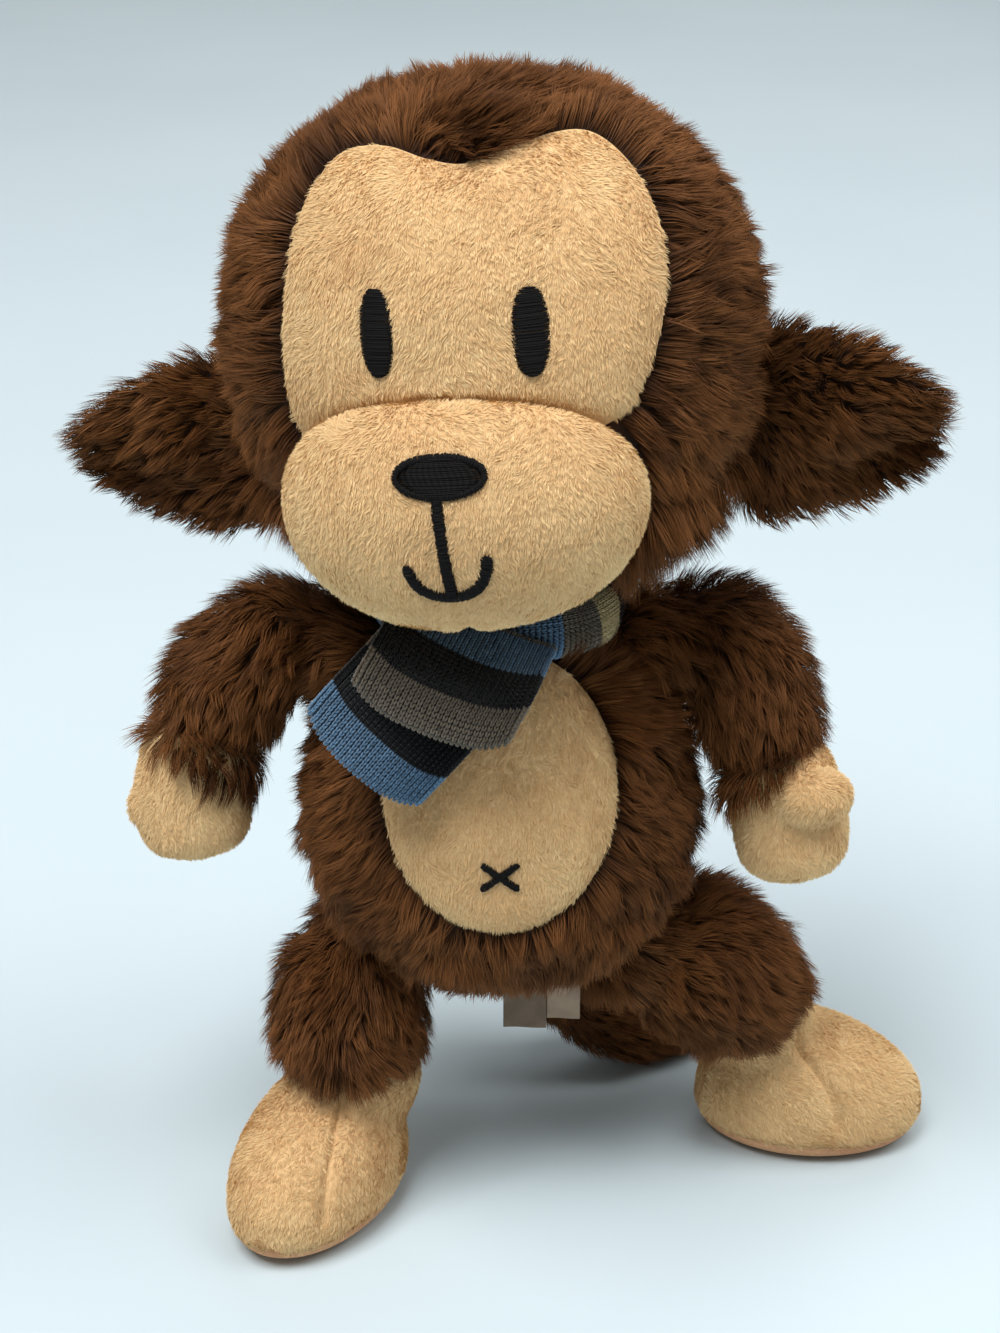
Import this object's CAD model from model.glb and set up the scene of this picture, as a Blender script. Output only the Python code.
"""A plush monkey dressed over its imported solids: stuffed cloth, long fur, short pile and thread.

Lengths are millimetres on the sewing pattern's own origin, and become metres in the frame when a
piece's mesh is made.
"""
import logging
import math
from dataclasses import dataclass, replace
from enum import Enum
from typing import Any, Callable, Sequence

import bpy
import numpy as np
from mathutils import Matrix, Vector
from mathutils.bvhtree import BVHTree
from mathutils.kdtree import KDTree


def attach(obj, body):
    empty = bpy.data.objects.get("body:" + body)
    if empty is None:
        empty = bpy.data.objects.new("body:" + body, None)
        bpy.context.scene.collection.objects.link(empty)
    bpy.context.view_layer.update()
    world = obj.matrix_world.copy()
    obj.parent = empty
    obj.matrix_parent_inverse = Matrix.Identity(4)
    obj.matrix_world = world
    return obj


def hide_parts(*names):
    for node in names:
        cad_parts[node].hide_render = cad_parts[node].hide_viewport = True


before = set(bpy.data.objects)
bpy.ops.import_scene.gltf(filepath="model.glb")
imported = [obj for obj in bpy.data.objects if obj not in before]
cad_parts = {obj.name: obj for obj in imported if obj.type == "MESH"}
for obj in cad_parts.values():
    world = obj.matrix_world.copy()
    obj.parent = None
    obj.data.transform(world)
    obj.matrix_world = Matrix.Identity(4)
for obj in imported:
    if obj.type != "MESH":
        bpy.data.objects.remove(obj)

LOG = logging.getLogger("plush")
MM = 0.001
MIDDLE = np.array([-6.506, 0.273, 0.0])  # the pattern's origin in the frame
FLOOR = 0.3  # the lowest that a hair or a sole goes
DOWN = np.array([0.0, 0.0, -1.0])
NECK_SQUASH = 0.845  # the neck's depth as a share of its width
UV_MAP = "OFBake"  # the map that hairs, threads and stitches are coloured by

Array = np.ndarray
Piece = bpy.types.Object
Material = bpy.types.Material
Pair = tuple[float, float]
Spot = tuple[float, float, float]
Colour = tuple[float, float, float]
Comb = Callable[[Array, Array], Array]
Keep = Callable[[Array], Array]
Strip = Callable[[Array, Array, float], tuple[Array, Array, Array, Array]]


class Slot(Enum):
    """The record's finishes that a piece can take."""

    FUR = "fur"
    PILE = "short_pile"
    THREAD = "thread"
    KNIT = "knit"
    LABEL = "label"


class Side(Enum):
    """The toy's own left and right, as the sign of X."""

    LEFT = 1
    RIGHT = -1

    @property
    def word(self) -> str:
        """The side's name in the frame's bodies and nodes."""
        return self.name.lower()

    def of(self, pair: Sequence[Any]) -> Any:
        """This side's one of a left and a right size."""
        return pair[0 if self is Side.LEFT else 1]

    def place(self, spot: Spot) -> Array:
        """A place on this side, from the like place on the left."""
        return np.array([self.value * spot[0], *spot[1:]])


# Vectors


def unit(vectors: Array) -> Array:
    """Vectors of length 1 along the given rows."""
    return vectors / np.maximum(np.linalg.norm(vectors, axis=-1, keepdims=True), 1e-9)


def flattened(vectors: Array, normals: Array) -> Array:
    """The part of each vector that lies in the surface, at length 1."""
    return unit(vectors - normals * np.sum(vectors * normals, -1, keepdims=True))


def spectrum(red: int, green: int, blue: int) -> Colour:
    """The linear colour of an 8-bit screen colour."""
    shares = [value / 255 for value in (red, green, blue)]
    return tuple(s / 12.92 if s <= 0.04045 else ((s + 0.055) / 1.055) ** 2.4 for s in shares)


def grey(value: float) -> Colour:
    """A grey of one linear value."""
    return (value, value, value)


def ripple(points: Array, wave: float, seed: int, count: int = 7) -> Array:
    """A smooth random value of about -1 to 1 at each point.

    Args:
        points: places, one a row.
        wave: the length of the waves.
        seed: which random waves to take.
        count: how many waves are added up.

    Returns:
        One value a point.
    """
    rng = np.random.default_rng(seed)
    total = np.zeros(len(points))
    for _ in range(count):
        direction = unit(rng.normal(size=3)) * 2 * math.pi / (wave * rng.uniform(0.7, 1.5))
        total += np.sin(points @ direction + rng.uniform(0, 2 * math.pi))
    return total / math.sqrt(count)


# Lines


def curve(a: Array, b: Array, c: Array, d: Array, t: Array) -> Array:
    """Points of a smooth line at shares t of the way from b to c, with a before them and d after."""
    return 0.5 * (2 * b + (c - a) * t + (2 * a - 5 * b + 4 * c - d) * t**2 + (3 * b - a - 3 * c + d) * t**3)


def run_along(line: Array) -> Array:
    """How far along a line each of its points is."""
    return np.concatenate([[0], np.cumsum(np.linalg.norm(np.diff(line, axis=0), axis=1))])


def between(rows: Array, run: Array, at: Array) -> Array:
    """Rows at places between them, by a run along them."""
    return np.stack([np.interp(at, run, column) for column in rows.T], -1)


def around(side: Array, other: Array, sides: int) -> Array:
    """Directions all round a line, from two ways that are square to it."""
    turn = np.linspace(0, 2 * math.pi, sides, endpoint=False)[:, None]
    return side[..., None, :] * np.cos(turn) + other[..., None, :] * np.sin(turn)


# Objects


def deselect() -> None:
    """Leaves edit mode and selects nothing."""
    if bpy.context.object is not None and bpy.context.object.mode != "OBJECT":
        bpy.ops.object.mode_set(mode="OBJECT")
    bpy.ops.object.select_all(action="DESELECT")


def pick(piece: Piece) -> None:
    """Selects one piece alone and makes it active.

    Args:
        piece: the piece.
    """
    deselect()
    piece.select_set(True)
    bpy.context.view_layer.objects.active = piece


def places(piece: Piece) -> Array:
    """Reads a piece's vertices.

    Args:
        piece: the piece.

    Returns:
        Their places, in millimetres on the pattern's origin.
    """
    flat = np.zeros(len(piece.data.vertices) * 3, np.float32)
    piece.data.vertices.foreach_get("co", flat)
    return flat.reshape(-1, 3).astype(float) / MM - MIDDLE


def set_places(piece: Piece, points: Array) -> None:
    """Moves the piece's vertices to points in millimetres."""
    piece.data.vertices.foreach_set("co", ((points + MIDDLE) * MM).astype(np.float32).ravel())
    piece.data.update()


def new_piece(name: str, points: Array, faces: Sequence[Array], uvs: Array | None = None) -> Piece:
    """Makes a piece from points and faces.

    Args:
        name: the piece's name.
        points: vertices in millimetres.
        faces: arrays of vertex numbers, each with one row a face and its own number of corners.
        uvs: a map place for each vertex, if the piece has a map.

    Returns:
        The new object, linked to the scene.
    """
    mesh = bpy.data.meshes.new(name)
    corners = np.concatenate([block.ravel() for block in faces]).astype(np.int32)
    totals = np.concatenate([np.full(len(block), block.shape[1]) for block in faces])
    mesh.vertices.add(len(points))
    mesh.vertices.foreach_set("co", ((points + MIDDLE) * MM).astype(np.float32).ravel())
    mesh.loops.add(len(corners))
    mesh.loops.foreach_set("vertex_index", corners)
    mesh.polygons.add(len(totals))
    starts = np.concatenate([[0], np.cumsum(totals)[:-1]]).astype(np.int32)
    mesh.polygons.foreach_set("loop_start", starts)
    mesh.polygons.foreach_set("use_smooth", np.ones(len(totals), bool))
    if uvs is not None:
        layer = mesh.uv_layers.new(name=UV_MAP)
        layer.uv.foreach_set("vector", uvs[corners].astype(np.float32).ravel())
    mesh.update(calc_edges=True)
    mesh.validate()
    piece = bpy.data.objects.new(name, mesh)
    bpy.context.scene.collection.objects.link(piece)
    return piece


def settle(piece: Piece, body: str, material: Material,
           nodes: Sequence[str] = ()) -> None:
    """Dresses a finished piece and ties it to its body.

    Args:
        piece: the piece, with its place in its mesh.
        body: the body that it moves with.
        material: the material that it shows.
        nodes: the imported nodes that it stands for.
    """
    if not piece.data.materials:
        piece.data.materials.append(material)
    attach(piece, body)
    if nodes:
        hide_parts(*nodes)
    LOG.info("%s: %d faces on %s", piece.name, len(piece.data.polygons), body)


def added(name: str) -> tuple[Piece, Array]:
    """Names the primitive that was just added.

    Args:
        name: the piece's name.

    Returns:
        The piece and its points, at the primitive's own size.
    """
    piece = bpy.context.object
    piece.name = piece.data.name = name
    return piece, (places(piece) + MIDDLE) * MM


def sphere(name: str) -> tuple[Piece, Array]:
    """Adds a sphere of radius 1.

    Args:
        name: the piece's name.

    Returns:
        The piece and its points on the sphere.
    """
    deselect()
    bpy.ops.mesh.primitive_uv_sphere_add(segments=48, ring_count=32, radius=1.0)
    return added(name)


def apply_step(piece: Piece, name: str, kind: str, **settings: float) -> None:
    """Finishes the active piece with a modifier.

    Args:
        piece: the piece.
        name: what the step is called.
        kind: the modifier's type.
        settings: the modifier's own settings.
    """
    step = piece.modifiers.new(name, kind)
    for key, value in settings.items():
        setattr(step, key, value)
    bpy.ops.object.modifier_apply(modifier=step.name)


def edit_all(piece: Piece, operator: Callable[..., object], **settings: object) -> None:
    """Runs an edit-mode operator on the whole of a piece.

    Args:
        piece: the piece.
        operator: the operator.
        settings: the operator's own settings.
    """
    pick(piece)
    bpy.ops.object.mode_set(mode="EDIT")
    bpy.ops.mesh.select_all(action="SELECT")
    operator(**settings)
    bpy.ops.object.mode_set(mode="OBJECT")


# Materials


class Board:
    """A material's nodes, added and joined one at a time."""

    def __init__(self, name: str) -> None:
        """Starts a material with one Principled shader.

        Args:
            name: the material's name.
        """
        self.material = bpy.data.materials.new(name)
        self.material.use_nodes = True
        self.tree = self.material.node_tree
        self.shader = self.tree.nodes["Principled BSDF"]

    def add(self, kind: str, settings: dict | None = None, **values: object) -> bpy.types.Node:
        """Adds a node.

        Args:
            kind: the node's type without its ShaderNode prefix.
            settings: properties of the node itself.
            values: input sockets by name, with _ for a space; a socket joins, a number is set.

        Returns:
            The node.
        """
        node = self.tree.nodes.new("ShaderNode" + kind)
        for key, value in (settings or {}).items():
            setattr(node, key, value)
        for key, value in values.items():
            self.feed(node, key.replace("_", " "), value)
        return node

    def feed(self, node: bpy.types.Node, socket: str, value: object) -> None:
        """Joins a socket to a node's input, or sets the input to a value.

        Args:
            node: the node.
            socket: the input's name.
            value: the socket or value.
        """
        if isinstance(value, bpy.types.NodeSocket):
            self.tree.links.new(value, node.inputs[socket])
        else:
            node.inputs[socket].default_value = value

    def ramp(self, factor: object, stops: Sequence[tuple[float, Colour]], steps: bool = False) -> object:
        """A colour ramp's colour socket.

        Args:
            factor: the socket that drives it.
            stops: places along the ramp with their colours.
            steps: whether the colours change at once at each stop.

        Returns:
            The colour socket.
        """
        node = self.add("ValToRGB", Fac=factor)
        band = node.color_ramp
        band.interpolation = "CONSTANT" if steps else "LINEAR"
        while len(band.elements) < len(stops):
            band.elements.new(1.0)
        for element, (place, colour) in zip(band.elements, stops):
            element.position = place
            element.color = (*colour, 1.0)
        return node.outputs["Color"]

    def times(self, first: object, second: object) -> object:
        """The product of two colours."""
        node = self.add("Mix", {"data_type": "RGBA", "blend_type": "MULTIPLY"}, Factor=1.0, A=first, B=second)
        return next(s for s in node.outputs if s.enabled)

    def noise(self, scale: float, detail: float = 3.0) -> object:
        """A noise value over the piece's own coordinates."""
        where = self.add("TexCoord").outputs["Object"]
        return self.add("TexNoise", Vector=where, Scale=scale, Detail=detail).outputs["Fac"]

    def bump(self, height: object, strength: float, distance: float) -> None:
        """Raises the shader's surface by a height."""
        node = self.add("Bump", Height=height, Strength=strength, Distance=distance)
        self.feed(self.shader, "Normal", node.outputs["Normal"])

    def surface(self, colour: object, rough: object, shine: float) -> None:
        """Sets the shader's colour, roughness and shine, each from a socket or a value."""
        for socket, value in (("Base Color", colour), ("Roughness", rough), ("Specular IOR Level", shine)):
            self.feed(self.shader, socket, value)

    def map_parts(self) -> tuple[object, object]:
        """The two parts of the piece's own map, as sockets."""
        where = self.add("UVMap", {"uv_map": UV_MAP}).outputs["UV"]
        parts = self.add("SeparateXYZ", Vector=where)
        return parts.outputs["X"], parts.outputs["Y"]


@dataclass(frozen=True)
class HairFinish:
    """Hairs that lighten from root to tip, each in a tone between two colours."""

    name: str
    dark: Colour
    light: Colour
    root: float
    tip: float
    rough: float
    shine: float
    halfway: float = 0.9

    def material(self) -> Material:
        """The hairs' material: across the map the tone, along it the way from root to tip."""
        board = Board(self.name)
        tone, along = board.map_parts()
        middle = tuple((a + b) / 2 for a, b in zip(self.dark, self.light))
        colour = board.ramp(tone, [(0.0, self.dark), (0.5, middle), (1.0, self.light)])
        shade = board.ramp(along, [(0.0, grey(self.root)), (0.55, grey(self.halfway)), (1.0, grey(self.tip))])
        board.surface(board.times(colour, shade), self.rough, self.shine)
        return board.material


@dataclass(frozen=True)
class ClothFinish:
    """Cloth with a mottled colour and a fine tooth."""

    name: str
    dark: Colour
    light: Colour
    patch: float
    tooth: float
    depth: float
    rough: float
    shine: float = 0.25

    def material(self) -> Material:
        """The cloth's material over its own coordinates."""
        board = Board(self.name)
        broad = board.noise(self.patch, 4.0)
        colour = board.ramp(broad, [(0.35, self.dark), (0.65, self.light)])
        fine = board.noise(self.tooth, 2.0)
        grain = board.ramp(fine, [(0.3, grey(0.82)), (0.7, grey(1.0))])
        rough = board.ramp(fine, [(0.3, grey(self.rough - 0.08)), (0.7, grey(self.rough))])
        board.surface(board.times(colour, grain), rough, self.shine)
        board.bump(fine, 0.6, self.depth)
        return board.material


@dataclass(frozen=True)
class ThreadFinish:
    """Dark embroidery thread, twisted along its length."""

    name: str
    dark: Colour
    light: Colour
    turns: float
    shine: float = 0.12

    def material(self) -> Material:
        """The thread's material: its twist follows the piece's own map."""
        board = Board(self.name)
        where = board.add("UVMap", {"uv_map": UV_MAP}).outputs["UV"]
        twist = board.add("TexWave", {"bands_direction": "DIAGONAL"}, Vector=where, Scale=self.turns,
                          Distortion=1.5).outputs["Fac"]
        colour = board.ramp(twist, [(0.2, self.dark), (0.9, self.light)])
        rough = board.ramp(twist, [(0.0, grey(0.6)), (1.0, grey(0.75))])
        board.surface(colour, rough, self.shine)
        return board.material


@dataclass(frozen=True)
class KnitFinish:
    """Striped yarn: each stripe a band along the scarf."""

    name: str
    stripes: tuple[tuple[float, Colour], ...]
    rough: float = 0.85
    shine: float = 0.2
    sheen: float = 0.25

    def material(self) -> Material:
        """The yarn's material: along the map the stripes, across it each stitch's own tone."""
        board = Board(self.name)
        tone, along = board.map_parts()
        colour = board.ramp(along, self.stripes, steps=True)
        shade = board.ramp(tone, [(0.04, grey(0.3)), (0.1, grey(0.72)), (1.0, grey(1.2))])
        board.surface(board.times(colour, shade), self.rough, self.shine)
        board.feed(board.shader, "Sheen Weight", self.sheen)
        return board.material


@dataclass(frozen=True)
class RibbonFinish:
    """Woven ribbon for the bare labels."""

    name: str
    dark: Colour
    light: Colour
    threads: float
    shine: float = 0.5

    def material(self) -> Material:
        """The ribbon's material: warp and weft lines over a slightly soiled ground."""
        board = Board(self.name)
        where = board.add("TexCoord").outputs["Object"]
        weave = board.add("Math", {"operation": "MAXIMUM"})
        for number, way in enumerate("XZ"):
            wave = board.add("TexWave", {"bands_direction": way}, Vector=where, Scale=self.threads)
            board.tree.links.new(wave.outputs["Fac"], weave.inputs[number])
        height = weave.outputs[0]
        soil = board.ramp(board.noise(160.0), [(0.35, self.dark), (0.65, self.light)])
        lines = board.ramp(height, [(0.2, grey(0.8)), (0.9, grey(1.0))])
        rough = board.ramp(height, [(0.0, grey(0.7)), (1.0, grey(0.5))])
        board.surface(board.times(soil, lines), rough, self.shine)
        board.bump(height, 0.4, 0.0002)
        return board.material


class Wardrobe:
    """Every finish of the toy, made once."""

    def __init__(self) -> None:
        """Makes the materials."""
        self.fur = HairFinish("brown_fur", spectrum(64, 36, 15), spectrum(140, 90, 49), root=0.22, tip=1.22,
                              rough=0.6, shine=0.12).material()
        self.nap = HairFinish("tan_nap", spectrum(232, 192, 138), spectrum(250, 221, 168), root=0.86,
                              tip=1.02, rough=0.85, shine=0.1).material()
        self.hide = ClothFinish("brown_backing", spectrum(36, 20, 10), spectrum(52, 30, 16), patch=60.0,
                                tooth=900.0, depth=0.0006, rough=0.9).material()
        tan = ClothFinish("tan_cloth", spectrum(222, 180, 128), spectrum(232, 194, 142), patch=45.0,
                          tooth=1100.0, depth=0.0005, rough=0.88)
        self.tan = tan.material()
        self.sole = replace(tan, name="sole_cloth", dark=spectrum(204, 150, 112),
                            light=spectrum(218, 168, 126)).material()
        self.thread = ThreadFinish("black_thread", spectrum(9, 8, 8), spectrum(26, 24, 24),
                                   turns=9.0).material()
        care = RibbonFinish("grey_ribbon", spectrum(108, 88, 68), spectrum(128, 106, 84), threads=900.0)
        size = RibbonFinish("pale_ribbon", spectrum(154, 130, 106), spectrum(176, 150, 124), threads=900.0)
        self.labels = {"care_label": care.material(), "size_label": size.material()}


# Forms


@dataclass(frozen=True)
class Ovoid:
    """A stuffed form, round about Z, fuller than an ellipsoid and narrowing upwards by its taper."""

    width: float
    depth: float
    height: float
    taper: float = 0.0
    centre: Spot = (0.0, 0.0, 0.0)
    power: float = 0.86

    def grown(self, by: float) -> "Ovoid":
        """The same form with its surface moved out."""
        wide, deep, high = (size + 2 * by for size in (self.width, self.depth, self.height))
        return replace(self, width=wide, depth=deep, height=high)

    def reach(self, height: Array) -> Array:
        """The share of the full width and depth at a height on the form."""
        share = np.clip(2 * (height - self.centre[2]) / self.height, -1, 1)
        return np.sqrt(1 - share**2) ** self.power * (1 - self.taper * share)

    def shaped(self, ball: Array) -> Array:
        """Points of a ball of radius 1 moved onto the form.

        Args:
            ball: points on the ball.

        Returns:
            The moved points.
        """
        high = ball[:, 2] * self.height / 2 + self.centre[2]
        flat = unit(np.c_[ball[:, :2], np.zeros(len(ball))]) * self.reach(high)[:, None]
        size = np.array([self.width, self.depth, 0]) / 2
        return flat * size + np.c_[np.tile(self.centre[:2], (len(ball), 1)), high]

    def front(self, x: Array, z: Array) -> Array:
        """The Y of the form's front at places seen from the front."""
        aside = 2 * (x - self.centre[0]) / self.width
        return self.centre[1] - self.depth / 2 * np.sqrt(np.maximum(self.reach(z) ** 2 - aside**2, 0))

    def outside(self, points: Array) -> Array:
        """About how far each point stands outside the form.

        Args:
            points: places, one a row.

        Returns:
            One distance a point.
        """
        x, y, z = (points - np.array(self.centre)).T
        level = np.hypot(2 * x / self.width, 2 * y / self.depth) - self.reach(points[:, 2])
        return np.maximum(level * min(self.width, self.depth) / 2, np.abs(z) - self.height / 2)

    def holds(self, points: Array) -> Array:
        """Whether each point is inside the form."""
        return self.outside(points) < 0


@dataclass(frozen=True)
class Tube:
    """A stuffed limb: round rings along a smooth spine."""

    spine: tuple[Spot, ...]
    radii: tuple[float, ...]
    stops: int = 60

    def line(self, count: int = 121) -> tuple[Array, Array]:
        """Evenly spaced points along the spine, and its directions there.

        Args:
            count: how many points.

        Returns:
            The points and the directions.
        """
        knots = np.array(self.spine, float)
        ends = np.concatenate([[2 * knots[0] - knots[1]], knots, [2 * knots[-1] - knots[-2]]])
        points = []
        for k in range(1, len(ends) - 2):
            a, b, c, d = ends[k - 1 : k + 3]
            t = np.linspace(0, 1, 40, endpoint=k == len(ends) - 3)[:, None]
            points.append(curve(a, b, c, d, t))
        fine = np.concatenate(points)
        run = run_along(fine)
        spots = between(fine, run, np.linspace(0, run[-1], count))
        return spots, unit(np.gradient(spots, axis=0))

    def thickness(self, share: Array) -> Array:
        """The tube's radius at shares of its length."""
        return np.interp(share, np.linspace(0, 1, len(self.radii)), self.radii)

    def skin(self, start: float, end: float, grow: float, sides: int = 28,
             rings: int = 34) -> tuple[Array, list[Array]]:
        """The tube's closed surface between two shares of its length.

        Args:
            start: where it starts.
            end: where it ends.
            grow: how far the surface stands outside the radii.
            sides: faces round it.
            rings: rings along it.

        Returns:
            Its points and its faces.
        """
        spots, ways = self.line()
        share = start + (end - start) * (1 - np.cos(np.linspace(0, math.pi, rings))) / 2
        number, at = np.arange(len(spots)), share * (len(spots) - 1)
        middle, way = between(spots, number, at), unit(between(ways, number, at))
        local = 2 * (share - start) / (end - start) - 1
        radius = (self.thickness(share) + grow) * np.sqrt(np.maximum(1 - np.abs(local) ** 6, 0.0))
        side = flattened(np.tile([0.0, 1.0, 0.02], (rings, 1)), way)
        ring = around(side, np.cross(way, side), sides)
        body = middle[1:-1, None] + ring[1:-1] * radius[1:-1, None, None]
        points = np.concatenate([middle[:1], body.reshape(-1, 3), middle[-1:]])
        return points, closed_rings(rings - 2, sides)

    def nearest(self, points: Array) -> tuple[Array, Array]:
        """The spine's direction and the share of its length nearest each point.

        Args:
            points: places, one a row.

        Returns:
            The directions and the shares.
        """
        spots, ways = self.line(self.stops + 1)
        best = np.argmin(((points[:, None] - spots[None]) ** 2).sum(-1), axis=1)
        return ways[best], best / self.stops


def closed_rings(count: int, sides: int) -> list[Array]:
    """Faces over a first point, rings of points and a last point.

    Args:
        count: how many rings.
        sides: points in a ring.

    Returns:
        The walls' and the caps' faces.
    """
    step = np.arange(sides)
    after = (step + 1) % sides
    last = 1 + count * sides
    walls = [np.stack([1 + k * sides + step, 1 + k * sides + after, 1 + (k + 1) * sides + after,
                       1 + (k + 1) * sides + step], -1) for k in range(count - 1)]
    caps = [np.stack([np.zeros_like(step), 1 + after, 1 + step], -1),
            np.stack([np.full_like(step, last), last - sides + step, last - sides + after], -1)]
    return [np.concatenate(walls), np.concatenate(caps)]


def closed_sheet(columns: int, rows: int) -> list[Array]:
    """Faces that close two equal grids of points, one behind the other, into a flat bag.

    Args:
        columns: points in a row.
        rows: how many rows.

    Returns:
        The faces.
    """
    at = np.arange(columns * rows).reshape(rows, columns)
    back = at + columns * rows
    corners = lambda grid: (grid[:-1, :-1], grid[:-1, 1:], grid[1:, 1:], grid[1:, :-1])
    cell = lambda grid: np.stack(corners(grid), -1).reshape(-1, 4)
    rim = np.concatenate([at[0, :-1], at[:-1, -1], at[-1, :0:-1], at[:0:-1, 0]])
    after = np.roll(rim, -1)
    wall = np.stack([rim, rim + columns * rows, after + columns * rows, after], -1)
    return [np.concatenate([cell(at), cell(back)[:, ::-1], wall])]


@dataclass(frozen=True)
class Stance:
    """Where a form stands: a place, and turns about Z and then Y."""

    place: Spot
    yaw: float
    roll: float

    @property
    def turn(self) -> Array:
        """The turn as a matrix."""
        a, b = math.radians(self.yaw), math.radians(self.roll)
        about_z = np.array([[math.cos(a), -math.sin(a), 0], [math.sin(a), math.cos(a), 0], [0, 0, 1]])
        about_y = np.array([[math.cos(b), 0, math.sin(b)], [0, 1, 0], [-math.sin(b), 0, math.cos(b)]])
        return about_z @ about_y

    def out(self, points: Array) -> Array:
        """Points of the form, as they stand."""
        return points @ self.turn.T + np.array(self.place)

    def back(self, points: Array) -> Array:
        """Standing points, as the form has them."""
        return (points - np.array(self.place)) @ self.turn

    def turned(self, vectors: Array) -> Array:
        """Directions of the form, as they stand."""
        return vectors @ self.turn.T


UPRIGHT = Stance((0.0, 0.0, 0.0), 0.0, 0.0)


def ball_piece(name: str, form: Ovoid, stance: Stance = UPRIGHT) -> Piece:
    """A sphere primitive shaped into a stuffed form.

    Args:
        name: the piece's name.
        form: the form it takes.
        stance: where it stands.

    Returns:
        The new piece.
    """
    piece, ball = sphere(name)
    set_places(piece, stance.out(form.shaped(ball)))
    return piece


def joined(pieces: Sequence[Piece]) -> Piece:
    """Joins pieces into the first one.

    Args:
        pieces: the pieces.

    Returns:
        The first piece.
    """
    deselect()
    for piece in pieces:
        piece.select_set(True)
    bpy.context.view_layer.objects.active = pieces[0]
    bpy.ops.object.join()
    return pieces[0]


@dataclass(frozen=True)
class Stuffing:
    """How a sewn form is filled: remeshed, blown up as cloth, capped and smoothed."""

    voxel: float = 5.0
    pressure: float = 4.0
    cap: float = 3.0
    frames: int = 20
    smooth: int = 4

    def fill(self, piece: Piece) -> Piece:
        """Fills a piece.

        Args:
            piece: the closed form to fill.

        Returns:
            The same piece.
        """
        pick(piece)
        piece.data.remesh_voxel_size = self.voxel * MM
        bpy.ops.object.voxel_remesh()
        apply_step(piece, "relax", "SMOOTH", factor=0.5, iterations=self.smooth)
        self.blow(piece)
        apply_step(piece, "round_off", "SUBSURF", levels=1, render_levels=1)
        bpy.ops.object.shade_smooth()
        return piece

    def blow(self, piece: Piece) -> None:
        """Blows a piece up as cloth from inside, and caps how far a point moves.

        Args:
            piece: the active piece.
        """
        before = places(piece)
        cloth = piece.modifiers.new("cloth", "CLOTH")
        cloth.settings.quality = 4
        cloth.settings.use_pressure = True
        cloth.settings.uniform_pressure_force = self.pressure
        cloth.settings.effector_weights.gravity = 0.0
        cloth.point_cache.frame_start = 1
        cloth.point_cache.frame_end = self.frames
        for step in range(1, self.frames + 1):
            bpy.context.scene.frame_set(step)
        bpy.ops.object.modifier_apply(modifier=cloth.name)
        moved = places(piece) - before
        far = np.linalg.norm(moved, axis=1, keepdims=True)
        set_places(piece, before + moved * np.minimum(1.0, self.cap / np.maximum(far, 1e-6)))
        bpy.context.scene.frame_set(1)


# Hair


@dataclass
class Skin:
    """A surface that hair grows on."""

    points: Array
    triangles: Array
    normals: Array

    @classmethod
    def of(cls, piece: Piece) -> "Skin":
        """The surface of a finished piece.

        Args:
            piece: the piece.

        Returns:
            Its points, triangles and normals.
        """
        mesh = piece.data
        mesh.calc_loop_triangles()
        corners = np.zeros(len(mesh.loop_triangles) * 3, np.int32)
        mesh.loop_triangles.foreach_get("vertices", corners)
        normals = np.zeros(len(mesh.vertices) * 3, np.float32)
        mesh.vertices.foreach_get("normal", normals)
        return cls(places(piece), corners.reshape(-1, 3), normals.reshape(-1, 3).astype(float))

    def scatter(self, density: float, rng: np.random.Generator) -> tuple[Array, Array]:
        """Evenly random roots on the surface.

        Args:
            density: roots a square millimetre.
            rng: where the random numbers come from.

        Returns:
            The roots and the surface's normals there.
        """
        a, b, c = (self.points[self.triangles[:, k]] for k in range(3))
        area = np.linalg.norm(np.cross(b - a, c - a), axis=1) / 2
        count = int(area.sum() * density)
        face = rng.choice(len(area), count, p=area / area.sum())
        first, second = rng.random(count), rng.random(count)
        over = first + second > 1
        first[over], second[over] = 1 - first[over], 1 - second[over]
        shares = np.stack([1 - first - second, first, second], -1)[..., None]
        corners = self.triangles[face]
        roots = (self.points[corners] * shares).sum(1)
        return roots, unit((self.normals[corners] * shares).sum(1))


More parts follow.
